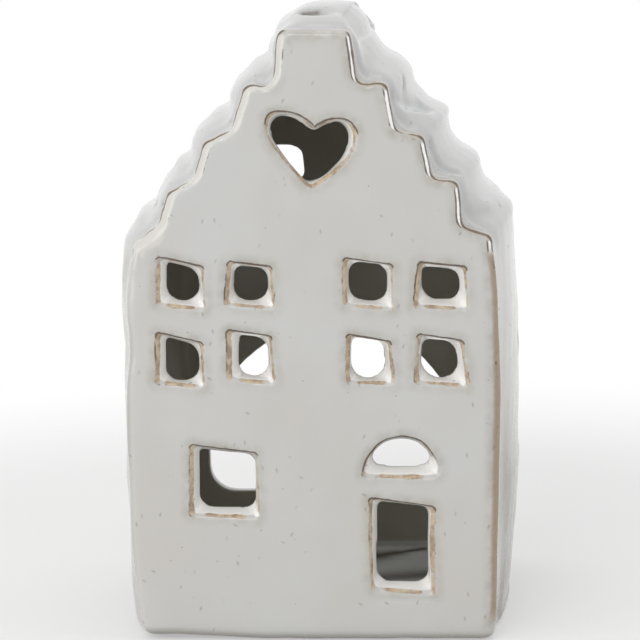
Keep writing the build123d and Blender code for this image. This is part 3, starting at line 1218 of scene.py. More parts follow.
@dataclass(frozen=True)
class WaxedCotton(CandleFinish):
    """Braided wick, stiff with wax."""

    name: str = "wick_cotton"
    colour: Rgb = srgb(226, 220, 204)
    second: Rgb = srgb(186, 176, 154)
    clouds: float = 1200.0
    grains: float = 5000.0
    sheen: Point = (0.55, 0.8)
    bump: float = 0.5


# The ceramic house


# What the skin carries at each point for the glaze, and what a distance says far from any edge.
MARKS = (
    "gap", "reach", "ochre", "line", "halo", "gleam", "rim_in", "rim_out", "rim_depth",
    "rim_highlight", "rim_gleam", "rim_band", "rim_ochre", "rim_line", "rim_brink", "rim_halo", "crack_and_shade", "shoulder_highlight",
)
START = {"gap": 9.0, "reach": 1.0, "rim_in": -9.0, "rim_out": -9.0}


class Slab(Enum):
    """The clay slabs that the potter joins into the house."""

    FRONT_FACADE = "front_facade"
    BACK_WALL = "back_wall"
    LEFT_WALL = "left_wall"
    RIGHT_WALL = "right_wall"
    LEFT_ROOF = "left_roof"
    RIGHT_ROOF = "right_roof"
    CHIMNEY_CAP = "chimney_cap"
    FLOOR_SLAB = "floor_slab"


@dataclass(frozen=True)
class Crease:
    """One of the cracks, pinholes and folds that the soft clay kept, or a patch of painted shade and shadow,
    along a few points.

    Sizes in millimetres; the depth of a fold that stands out is less than 0.
    """

    points: tuple[Place, ...]
    width: float
    depth: float
    # How strongly it darkens: clay colour in cracks, painted shade elsewhere.
    darkening: float = 0.0

    def nearness(self, places: np.ndarray) -> np.ndarray:
        """How near each place is to the crease.

        Args:
            places: Points in millimetres.

        Returns:
            1 on the crease's line, fading to 0 over its width.
        """
        knots = np.array(self.points)
        gaps = np.linalg.norm(places - knots[0], axis=1)
        for start, stop in zip(knots, knots[1:]):
            along = stop - start
            share = np.clip((places - start) @ along / (along @ along), 0.0, 1.0)
            gaps = np.minimum(gaps, np.linalg.norm(places - start - share[:, None] * along, axis=1))
        return bell(gaps, self.width)


@dataclass
class CeramicHouse:
    """The glazed shell: slabs luted together, cut by hand, rounded by the glaze. Sizes in millimetres."""

    front: float = -45.0
    inner_front: float = -40.0
    wall: float = 5.0
    seat: float = 0.5
    lap: float = 0.6
    glaze_margin: float = 0.6
    side_bow: float = 4.2
    roof_crown: float = 3.4
    eaves: float = 103.6
    cap_underside: float = 159.1
    voxel: float = 0.5
    overrun: float = 1.5
    plug_margin: float = 1.2
    glaze_passes: int = 5
    flank_passes: int = 60
    roof_passes: int = 60
    groove_depth: float = 0.9
    groove_place: float = 37.2
    groove_width: float = 2.2
    ripple: float = 0.12
    foot_lift: float = 1.1
    arris_passes: int = 45
    seed: int = 11
    flatness: float = 0.002
    edge: GableEdge = field(default_factory=GableEdge)
    hole_shift: float = 2.1
    window_shift: float = 1.7
    arch_foot_shift: float = -0.7
    waves: tuple[float, ...] = (34.0, 26.0, 19.0, 14.0, 10.0, 7.5)
    profile: Sizes = (GABLE_SIDE[0], (48.8, 5.5), *GABLE_SIDE[1:], (9.7, 175.0))
    left_fullness: Sizes = (
        (0.0, 0.6), (12.0, 0.9), (25.0, 0.1), (32.0, 0.0), (42.0, 0.5), (49.0, 0.1), (68.0, 0.2),
        (78.0, -0.5), (84.0, 0.3), (88.0, 0.8), (97.0, 1.3), (104.0, 1.0), (107.0, 0.7), (109.5, -0.7),
        (111.0, -0.7), (113.0, 0.5), (119.0, -0.2), (122.0, -1.2), (124.7, -2.5), (126.7, -0.7),
        (132.0, 0.5), (135.2, 0.0), (137.7, -1.9), (139.7, -0.9), (145.0, 0.5), (148.2, -0.4),
        (150.8, -2.4), (153.2, -2.6), (157.0, -0.4), (172.0, -0.3),
    )
    right_fullness: Sizes = (
        (0.0, -1.8), (4.0, -2.4), (9.0, -1.6), (14.0, -1.1), (22.0, -0.4), (26.0, 0.1), (35.0, 0.6),
        (41.0, 0.9), (44.0, 0.5), (52.0, 0.3), (71.0, 0.5), (76.0, 0.1), (95.0, 0.0), (108.5, -0.3),
        (111.5, 0.8), (114.7, 2.8), (117.0, 0.4), (119.0, -0.4), (122.2, -0.9), (127.2, 0.4),
        (132.4, -0.9), (135.6, -0.8), (138.0, 0.6), (142.0, 0.7), (145.3, -1.0), (148.8, -0.9),
        (152.0, -2.1), (155.3, -1.4), (158.8, -2.1), (172.0, -2.1),
    )
    cap_drop: Sizes = (
        (-1.0, 3.2), (-0.85, 3.0), (-0.7, 2.4), (-0.5, 0.9), (-0.3, 0.1),
        (0.2, 0.05), (0.45, 0.5), (0.65, 1.0), (0.92, 3.2), (1.08, 4.4),
    )
    arch_lift: Sizes = (
        (5.5, 0.0), (14.0, 1.9), (72.0, 2.2), (92.0, 0.6), (112.0, 0.9), (132.0, 0.9), (150.0, 0.0),
    )
    lean: Sizes = (
        (0.0, -0.2), (25.0, -1.1), (50.0, -0.8), (80.0, -0.6), (110.0, 0.0), (135.0, 1.1), (165.0, 2.0),
        (172.0, 2.1),
    )
    creases: tuple[Crease, ...] = (
        # Cracks and folds of the right roof; their darkening is the cracks' clay and painted shade in the
        # folds.
        Crease(
            ((23.2, -19.7, 148.2), (23.5, -21.1, 146.1), (23.5, -24.0, 144.6), (23.1, -28.3, 143.0)),
            0.65, 0.8, 1.0,
        ),
        Crease(
            ((21.0, -35.2, 144.7), (22.9, -30.3, 142.4), (25.0, -23.2, 141.0), (26.9, -16.0, 140.4)),
            2.3, 1.3, 0.2,
        ),
        Crease(((22.9, -30.3, 142.4), (25.0, -23.2, 141.0), (26.4, -17.8, 140.5)), 1.1, 0.8, 0.65),
        Crease(((22.5, -33.0, 140.4), (26.0, -24.0, 138.4)), 2.6, -0.5),
        Crease(
            ((31.3, -34.2, 132.6), (31.9, -34.6, 129.2), (32.6, -34.6, 127.0), (34.4, -34.0, 125.6),
             (38.1, -32.2, 124.1)),
            0.9, 1.3, 0.55,
        ),
        Crease(((33.4, -34.3, 126.3), (35.1, -33.9, 125.1), (37.4, -33.0, 124.2)), 0.7, 0.7, 0.7),
        Crease(((30.6, -37.2, 129.0), (32.6, -37.4, 124.6), (37.5, -36.0, 122.6)), 1.1, -0.7),
        # Pinholes in the left roof.
        Crease(((-43.3, -25.2, 115.9),), 1.0, 0.7, 1.0),
        Crease(((-41.1, -34.2, 117.2),), 1.0, 0.7, 1.0),
        # Painted shadows on the floor; the first narrows towards the back.
        Crease(((8.5, 22.5, 5.5), (12.5, 25.5, 5.5)), 8.0, 0.0, 0.95),
        Crease(((12.5, 25.5, 5.5), (17.5, 28.5, 5.5)), 5.5, 0.0, 0.95),
        Crease(((17.5, 28.5, 5.5), (25.2, 33.2, 5.5)), 3.0, 0.0, 0.95),
        Crease(((8.0, -3.0, 5.5), (30.0, 5.0, 5.5)), 8.0, 0.0, 0.85),
        # Painted shade in the smoke hole, a dark slit.
        Crease(((-2.7, -20.3, 166.3), (-1.6, -19.3, 166.3), (0.2, -18.8, 166.4)), 1.5, 0.0, 1.0),
    )
    # Painted highlight at the left shoulder, where the bevel's highlight ends.
    shoulder_highlights: tuple[Crease, ...] = (
        Crease(((-46.6, -44.0, 107.9), (-44.3, -44.5, 107.9), (-41.5, -44.8, 108.9)), 2.4, 0.0, 1.0),
        Crease(((-45.3, -45.0, 107.0), (-44.8, -45.0, 104.8)), 0.9, 0.0, 1.0),
    )

    def half_width(self, height: np.ndarray) -> np.ndarray:
        """Half width of the gable in millimetres, at heights in millimetres."""
        widths, heights = zip(*self.profile)
        return np.interp(height, heights, widths)

    def swelling(self, depth: np.ndarray) -> np.ndarray:
        """Share of the full bow at a depth: 0 at the gables, 1 at mid depth."""
        return np.clip(1.0 - (depth / self.inner_front) ** 2, 0.0, 1.0)

    def joined_slabs(self) -> Object:
        """Joins the plain slabs and fills the facade's openings.

        Returns:
            One object with all the slabs and plugs.
        """
        plugs = [cut.plug(self.front, self.wall, self.plug_margin) for cut in FACADE_CUTS]
        clay = merged("raw_clay", [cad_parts[slab.value] for slab in Slab] + plugs)
        discard(plugs)
        return clay

    def remeshed(self, source: Object, name: str) -> Object:
        """Turns closed solids into one even skin.

        Args:
            source: The solids, whose modifiers are applied first.
            name: The skin's name.

        Returns:
            The skin's object. The source is deleted.
        """
        even = source.modifiers.new("even", "REMESH")
        even.mode = "VOXEL"
        even.voxel_size = self.voxel * MM
        mesh = evaluated_copy(source, name)
        discard([source])
        return linked(name, mesh)

    def hand_cut(self, clay: Object) -> None:
        """Cuts the facade's openings and its edge out of the clay.

        Args:
            clay: The closed shell, which gets a new mesh.
        """
        cutters = [cut.cutter(self.front, self.wall, self.overrun) for cut in FACADE_CUTS]
        cutters.append(self.edge.cutter(self.front))
        knife = merged("knife", cutters)
        discard(cutters)
        clay.data = carved(clay, knife, "DIFFERENCE", "cut_clay")

    def inside_mask(self, points: np.ndarray) -> np.ndarray:
        """Marks the surfaces of the chamber.

        Args:
            points: Points in millimetres, before the house leans.

        Returns:
            1 inside the chamber and 0 on the outside.
        """
        x, y, z = points.T
        slack, headroom = 0.35, 0.5
        swell = self.swelling(y)
        margin = self.wall - self.glaze_margin
        crown = self.roof_crown * swell * (z > self.eaves)
        side = np.abs(x) - (self.half_width(z + margin - crown) - margin + self.side_bow * swell)
        under_cap = z < self.cap_underside + headroom
        between = (np.abs(y) < -self.inner_front + slack) & (z > self.wall) & under_cap
        return ((side < 0) & between).astype(float)

    def soften(self, skin: Object) -> Relaxer:
        """Rounds the skin as glaze does, and the roof's steps more than the rest.

        Args:
            skin: The even skin.

        Returns:
            The relaxer, for the masks.
        """
        relaxer = Relaxer(skin.data)
        points = relaxer.relax(read_points(skin.data) / MM, self.glaze_passes)
        outside = 1.0 - self.inside_mask(points)
        x, y, z = points.T
        # Walls and roofs sag between the gables, and the left arris and the foot in front are worn round.
        flank = ramp(np.abs(y), 40.5, 36.5) * outside * ramp(z, 1.0, 6.0)
        roof = flank * ramp(z, self.eaves + 1.0, self.eaves + 5.0)
        left_edge = ramp(-x, 43.0, 46.0) * ramp(y, -35.0, -39.0)
        worn = left_edge * ramp(z, 2.0, 7.0) * ramp(z, 103.0, 97.0) * outside
        corners = (1.0 - 0.8 * ramp(-x, 37.0, 44.0)) * (1.0 - 0.35 * ramp(x, 42.0, 47.0))
        foot = ramp(z, 6.0, 2.5) * ramp(y, -36.0, -40.0) * corners
        shares = (np.maximum(worn, foot), flank, roof)
        for passes, share in zip((self.arris_passes, self.flank_passes, self.roof_passes), shares):
            points = relaxer.relax(points, passes, 0.5 * share[:, None])
        write_points(skin.data, points * MM)
        normals = vertex_normals(skin.data)
        groove = self.groove_depth * bell(np.abs(points[:, 1]) - self.groove_place, self.groove_width)
        raised = ramp(points[:, 2], self.eaves - 2.0, self.eaves + 8.0) * outside
        points = points - normals * (groove * raised)[:, None]
        points = points + normals * (self.ripples(points) * outside)[:, None]
        for crease in self.creases:
            points = points - normals * (crease.nearness(points) * crease.depth)[:, None]
        write_points(skin.data, relaxer.relax(points, 1) * MM)
        return relaxer

    def ripples(self, points: np.ndarray) -> np.ndarray:
        """Slow unevenness of the clay's surface.

        Args:
            points: Points in millimetres.

        Returns:
            One height in millimetres for each point.
        """
        rng = np.random.default_rng(self.seed)
        total = np.zeros(len(points))
        for wave in self.waves:
            way = rng.normal(size=3)
            way *= 2 * math.pi / (wave * np.linalg.norm(way))
            total += np.sin(points @ way + rng.uniform(0, 2 * math.pi)) * (wave / self.waves[0]) ** 0.8
        return total * self.ripple / 2.0

    def masks(self, mesh: Mesh, relaxer: Relaxer) -> None:
        """Stores where the glaze runs thin, where it pools, what lies inside, and where shade and light are
        painted.

        Args:
            mesh: The finished skin, before it leans.
            relaxer: The skin's relaxer.
        """
        points, normals = read_points(mesh) / MM, vertex_normals(mesh)
        x, y, z = points.T
        inside = self.inside_mask(points)
        outside = 1.0 - inside
        bulge = ((points - relaxer.relax(points, 30)) * normals).sum(1)
        bulge = relaxer.relax(bulge[:, None], 6)[:, 0]
        found = {name: np.full(len(points), START.get(name, 0.0)) for name in MARKS}
        for cut in FACADE_CUTS:
            self.mark_opening(cut, points, found)
        self.mark_edge(points, found)
        found["inside"] = inside
        upper = ramp(z, self.eaves - 4.0, self.eaves + 6.0)
        # Where the roofs get their painted shade.
        found["flanks"] = outside * upper * ramp(y, self.inner_front - 0.5, self.inner_front + 1.5)
        # Painted light on the chamber's floor.
        found["chamber_floor_light"] = inside * ramp(normals[:, 2], 0.5, 0.8) * ramp(z, 12.0, 8.0)
        found["hollow"] = ramp(-bulge, 0.07, 0.45) * outside
        back_edge = ramp(bulge, 0.2, 0.42) * ramp(y, 34.0, 40.0) * ramp(z, 1.0, 4.0)
        side_window = ramp(np.abs(x), 44.0, 47.0) * bell(z - 72.0, 11.0) * bell(y, 12.0)
        found["worn"] = outside * np.maximum(back_edge, ramp(bulge, 0.12, 0.3) * side_window)
        # Painted shade: darker at the foot, low on the right wall and behind the left arris.
        foot = 0.75 * ramp(z, 3.2, 0.4)
        low_wall = 0.95 * ramp(x, 49.0, 51.0) * ramp(z, 95.0, 25.0)
        left_wall = 0.5 * ramp(-x, 47.6, 49.6) * ramp(z, 106.0, 100.0) * ramp(y, 20.0, 0.0)
        found["painted_shade"] = outside * np.maximum.reduce([foot, low_wall, left_wall])
        for crease in self.creases:
            found["crack_and_shade"] = np.maximum(found["crack_and_shade"], crease.darkening * crease.nearness(points) ** 2)
        # Painted highlight at the left shoulder.
        for shoulder_highlight in self.shoulder_highlights:
            found["shoulder_highlight"] = np.maximum(found["shoulder_highlight"], ramp(shoulder_highlight.nearness(points), 0.3, 0.55) * outside)
        for name, values in found.items():
            write_mask(mesh, name, values)

    def mark_opening(self, cut: HandCut, points: np.ndarray, found: dict[str, np.ndarray]) -> None:
        """Stores how far the glaze lies from one opening, and how strong each band is there.

        Args:
            cut: The opening.
            points: The skin's points in millimetres.
            found: Values by name, which change near the opening.
        """
        around = 6.0
        mouth, throat = cut.loops()
        out = outward(mouth)
        low, high = mouth.min(0) - around, mouth.max(0) + around
        flat = points[:, [0, 2]]
        near = ((flat > low) & (flat < high)).all(1) & (points[:, 1] < self.inner_front + 0.4)
        rows = np.flatnonzero(near)
        away, nearest = outline_distance(flat[rows], mouth)
        reach = cut.arris.reach(out)[nearest]
        closer = away - reach < found["gap"][rows]
        rows, away, nearest, reach = rows[closer], away[closer], nearest[closer], reach[closer]
        left, right, top, bottom = side_shares(out[nearest])
        middle, half = (low[0] + high[0]) / 2, (high[0] - low[0]) / 2 - around
        centred = ramp(np.abs(flat[rows, 0] - middle) / half, 0.85, 0.4)
        strengths = {
            "ochre": left + 0.75 * right + 0.3 * top + bottom * centred,
            "line": 0.3 * left + 0.2 * right + top + 1.2 * left * top + 0.15 * bottom,
            # The halo is painted shade round the opening, with soft smudges.
            "halo": 0.8 * left + 0.6 * right + top + 0.4 * bottom,
        }
        found["gap"][rows] = away - reach
        found["reach"][rows] = reach
        for name, values in strengths.items():
            found[name][rows] = np.clip(values, 0, 1)
        # Painted highlights in the opening's lower corners.
        for side, wide, share in ((1.0, 0.85, 0.75), (-1.0, 0.55, 0.45)):
            way, across = np.array(((side, -1.0), (1.0, side))) / math.sqrt(2.0)
            corner = mouth[(mouth @ way).argmax()] * share + throat[(throat @ way).argmax()] * (1.0 - share)
            gaps = flat[rows] - corner
            spread = bell(gaps @ way, 1.5 * wide) * bell(gaps @ across, wide)
            found["gleam"][rows] = np.maximum(found["gleam"][rows], cut.gleam * spread)

    def mark_edge(self, points: np.ndarray, found: dict[str, np.ndarray]) -> None:
        """Stores how far the glaze lies from the facade's cut-off edge, and how strong each band is there.

        Args:
            points: The skin's points in millimetres.
            found: Values by name, which change near the edge.
        """
        band = 7.0
        outline, inner = self.edge.loop(0.0), self.edge.loop(1.0)
        rows = np.flatnonzero(points[:, 1] < self.inner_front + 1.0)
        away, nearest = outline_distance(points[rows][:, [0, 2]], outline)
        near = away > -band
        rows, away, nearest = rows[near], away[near], nearest[near]
        within, _ = outline_distance(points[rows][:, [0, 2]], inner)
        left, right, top, _ = side_shares(outward(outline)[nearest])
        x, _, z = points[rows].T
        gable = ramp(z, self.eaves - 1.0, self.eaves + 3.0)
        wall = (1.0 - gable) * ramp(z, 2.0, 6.0)
        stepped = ramp(z, 162.5, 158.5)
        found["rim_in"][rows] = within
        found["rim_out"][rows] = away
        found["rim_depth"][rows] = self.edge.depth_along()[nearest]
        strengths = {
            # Painted highlight on the left gable's bevel and the tops of its left steps.
            "rim_highlight": gable * (left**2 + top * ramp(-x, 8.0, 14.0)),
            # Painted highlight at the right shoulder.
            "rim_gleam": ramp(z, self.eaves - 0.6, self.eaves + 0.6) * ramp(right, 0.8, 0.95),
            "rim_band": wall * right**8 * ramp(z, 4.0, 9.0),
            "rim_ochre": gable * (0.95 * top * stepped + 0.5 * right + 0.3 * left),
            "rim_line": gable * (0.85 * left + 0.7 * top * stepped + right),
            "rim_brink": gable * (0.25 * left + right**2),
            # The halo is painted shade along the right edge and on the steps right of the middle.
            "rim_halo": (0.8 * gable + wall) * right + 0.9 * top * gable * ramp(x, -14.0, -8.0),
        }
        for name, values in strengths.items():
            found[name][rows] = np.clip(values, 0, 1)

    def drawn(self, points: np.ndarray) -> np.ndarray:
        """Moves the facade's outline to where the potter's hand left it.

        Args:
            points: Points in millimetres.

        Returns:
            The moved points in millimetres.
        """
        # The outline's corners move, and a few points of each opening hold their places.
        fixed, steepness = 4, 1.6
        places = [np.array(self.edge.corners)]
        shifts = [np.array(self.edge.moves)]
        for cut in FACADE_CUTS:
            mouth = np.array(cut.mouth)
            places.append(mouth[:: max(1, len(mouth) // fixed)])
            shifts.append(np.zeros_like(places[-1]))
        anchors, moves = np.vstack(places), np.vstack(shifts)
        weight = ramp(points[:, 1], self.inner_front + 16.0, self.inner_front + 1.0)
        rows = np.flatnonzero(weight > 0)
        flat = points[rows][:, [0, 2]]
        total, sums = np.zeros(len(rows)), np.zeros((len(rows), 2))
        for anchor, move in zip(anchors, moves):
            near = 1.0 / (1.0 + ((flat - anchor) ** 2).sum(1)) ** steepness
            total += near
            sums += near[:, None] * move
        moved = points.copy()
        moved[rows[:, None], [[0, 2]]] += sums / total[:, None] * weight[rows, None]
        return moved

    def filled(self, points: np.ndarray) -> np.ndarray:
        """Swells the side walls and the roof between the gables, and lifts one corner of the foot.

        Args:
            points: Points in millimetres.

        Returns:
            The moved points in millimetres.
        """
        x, y, z = points.T
        # The swelling starts behind the facade's face below the eaves, and behind its back above them.
        start = np.interp(z, (100.0, 107.0), (-44.3, -39.5))
        behind = ramp(y, start, start + 15.0)
        deep = behind * ramp(y, 44.5, 30.0)
        out = ramp(np.abs(x) / self.half_width(z), 0.7, 0.92)
        moved = points.copy()
        for side, table in ((-1.0, self.left_fullness), (1.0, self.right_fullness)):
            moved[:, 0] += side * smooth_lookup(z, table, 1.4) * deep * out * (side * x > 0)
        lift = self.foot_lift * ramp(-x, 12.0, 44.0) * ramp(z, 9.0, 2.0) * ramp(y, -34.0, -41.0)
        across = x / (self.half_width(z) + self.side_bow * self.swelling(y))
        drop = smooth_lookup(across, self.cap_drop, 0.22) * ramp(z, 158.0, 164.0)
        moved[:, 2] += lift - drop * behind
        moved[:, 0] -= self.hole_shift * bell(x, 8.0) * bell(y + 22.0, 7.0) * ramp(z, 156.0, 162.0)
        return moved

    def pushed(self, points: np.ndarray) -> np.ndarray:
        """Moves the back wall's openings a little, as a hand-cut arch and windows stand.

        Args:
            points: Points in millimetres.

        Returns:
            The moved points in millimetres.
        """
        x, y, z = points.T
        wall = ramp(y, 32.0, 39.0) * ramp(np.abs(x) / (self.half_width(z) - 4.0), 1.0, 0.85)
        window = self.window_shift * bell(x + 9.0, 6.0) * bell(z - 114.0, 9.0)
        foot = self.arch_foot_shift * ramp(-x, 20.0, 34.0) * ramp(z, 80.0, 60.0)
        moved = points.copy()
        moved[:, 0] += (window + foot) * wall
        moved[:, 2] += smooth_lookup(z, self.arch_lift, 4.0) * wall
        return moved

    def leaned(self, points: np.ndarray) -> np.ndarray:
        """Moves points in millimetres sideways as the fired house leans."""
        moved = points.copy()
        moved[:, 0] += smooth_lookup(points[:, 2], self.lean, 9.0)
        return moved

    def shaped(self, points: np.ndarray) -> np.ndarray:
        """Takes points of the true slabs to where hand and kiln left them, in millimetres."""
        return self.leaned(self.pushed(self.filled(self.drawn(points))))

    def slab_box(self, slab: Slab) -> tuple[np.ndarray, np.ndarray]:
        """Box that holds one slab and none of the others.

        Args:
            slab: The slab.

        Returns:
            The box's lowest and highest corner in millimetres.
        """
        far, joint = 200.0, -self.inner_front - self.lap
        floor, cap = self.wall + self.seat + self.lap, self.cap_underside - self.lap
        rows = {
            Slab.FRONT_FACADE: ((-far, far), (-far, -joint), (-far, far)),
            Slab.BACK_WALL: ((-far, far), (joint, far), (-far, far)),
            Slab.FLOOR_SLAB: ((-far, far), (-joint, joint), (-far, floor)),
            Slab.LEFT_WALL: ((-far, 0.0), (-joint, joint), (floor, self.eaves)),
            Slab.RIGHT_WALL: ((0.0, far), (-joint, joint), (floor, self.eaves)),
            Slab.LEFT_ROOF: ((-far, 0.0), (-joint, joint), (self.eaves, cap)),
            Slab.RIGHT_ROOF: ((0.0, far), (-joint, joint), (self.eaves, cap)),
            Slab.CHIMNEY_CAP: ((-far, far), (-joint, joint), (cap, far)),
        }
        sides = np.array(rows[slab])
        return sides[:, 0], sides[:, 1]

    def mend_joint(self, mesh: Mesh, skin: Mesh, tree: KDTree) -> None:
        """Gives the points that a cut made the marks of the skin's nearest points.

        Args:
            mesh: The cut-out slab, before it is shaped.
            skin: The whole skin with its marks.
            tree: The skin's points.
        """
        rows = np.flatnonzero(np.linalg.norm(read_mask(mesh, "shade"), axis=1) < 0.5)
        nearest = [tree.find(place)[1] for place in read_points(mesh)[rows]]
        for name in [item.name for item in skin.attributes if item.domain == "POINT"]:
            if name == "position" or name not in mesh.attributes:
                continue
            values = read_mask(mesh, name)
            values[rows] = read_mask(skin, name)[nearest]
            key = "vector" if values.shape[1] == 3 else "value"
            write_rows(mesh.attributes[name].data, key, values)

    def parted(self, skin: Object, slab: Slab, tree: KDTree) -> Object:
        """Cuts one slab out of the skin, shapes it and keeps the skin's own shading across the joints.

        Args:
            skin: The whole skin with its marks.
            slab: The slab to cut out.
            tree: The skin's points.

        Returns:
            The slab's object.
        """
        low, high = self.slab_box(slab)
        mesh = carved(skin, block("slab_box", low, high), "INTERSECT", slab.value)
        self.mend_joint(mesh, skin.data, tree)
        points = read_points(mesh) / MM
        ends = read_rows(mesh.loops, "vertex_index", 1, whole=True)[:, 0]
        totals = read_rows(mesh.polygons, "loop_total", 1, whole=True)[:, 0]
        # Faces on the box's own sides are joints: they stay flat.
        owner = np.repeat(np.arange(len(totals)), totals)
        flat = np.zeros(len(totals), bool)
        for k in range(3):
            for wall in (low[k], high[k]):
                off = np.bincount(owner, np.abs(points[ends, k] - wall) > self.flatness, len(totals))
                flat |= off == 0
        write_points(mesh, self.shaped(points) * MM)
        shade = read_mask(mesh, "shade")
        shade /= np.linalg.norm(shade, axis=1)[:, None]
        faces = read_rows(mesh.polygon_normals, "vector", 3)
        normals = np.where(flat[owner][:, None], faces[owner], shade[ends])
        mesh.attributes.remove(mesh.attributes["shade"])
        shade_smooth(mesh)
        mesh.normals_split_custom_set(normals.tolist())
        return linked("ceramic_" + slab.value, mesh)

    def build(self) -> list[tuple[Slab, Object]]:
        """Builds the whole glazed shell and parts it into its slabs.

        Returns:
            Each slab with its object, at rest in the frame.
        """
        clay = self.remeshed(self.joined_slabs(), "clay")
        self.hand_cut(clay)
        skin = self.remeshed(clay, "skin")
        relaxer = self.soften(skin)
        self.masks(skin.data, relaxer)
        plain = read_points(skin.data)
        # The shading comes from the shaped skin, so that it runs on across the joints.
        write_points(skin.data, self.shaped(plain / MM) * MM)
        flanks = 0.5 * ramp(np.abs(plain[:, 1] / MM), 37.0, 33.0)[:, None]
        normals = relaxer.relax(vertex_normals(skin.data), 10, flanks)
        normals /= np.linalg.norm(normals, axis=1)[:, None]
        write_mask(skin.data, "shade", normals)
        write_points(skin.data, plain)
        tree = KDTree(len(plain))
        for row, place in enumerate(plain):
            tree.insert(place, row)
        tree.balance()
        made = [(slab, self.parted(skin, slab, tree)) for slab in Slab]
        discard([skin])
        return made

    def dress(self, material: Material) -> list[Object]:
        """Builds the slabs, glazes them and puts each in the place of its plain one.

        Args:
            material: The glaze.

        Returns:
            The slabs' objects.
        """
        pieces = self.build()
        for slab, piece in pieces:
            piece.data.materials.clear()
            piece.data.materials.append(material)
            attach(piece, "house")
            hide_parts(slab.value)
        return [piece for _, piece in pieces]


# The tealight


def lathe(
    name: str, profile: Sequence[Point], segments: int, waves: Sequence[float] = (), wave_count: int = 0
) -> Object:
    """Turns a profile about the Z axis.

    Args:
        name: The object's name.
        profile: Radii and heights in millimetres, from the axis and back to it.
        segments: Steps round the axis.
        waves: How far the radius waves in and out at each profile point.
        wave_count: Waves round the axis.

    Returns:
        The turned object at the origin.
    """
    ups = list(waves) or [0.0] * len(profile)
    points, rings = [], []
    for (radius, height), wave in zip(profile, ups):
        if radius <= 0:
            rings.append([len(points)])
            points.append((0.0, 0.0, height))
            continue
        ring = []
        for k in range(segments):
            angle = 2 * math.pi * k / segments
            wide = radius + wave * math.cos(wave_count * angle)
            ring.append(len(points))
            points.append((wide * math.cos(angle), wide * math.sin(angle), height))
        rings.append(ring)
    faces = []
    for low, high in zip(rings, rings[1:]):
        for k in range(segments):
            a, b = low[k % len(low)], low[(k + 1) % len(low)]
            c, d = high[(k + 1) % len(high)], high[k % len(high)]
            corner = [a, b, c, d]
            faces.append(sorted(set(corner), key=corner.index))
    made = add_object(name, np.array(points) * MM, [f for f in faces if len(f) > 2])
    shade_smooth(made.data)
    return made


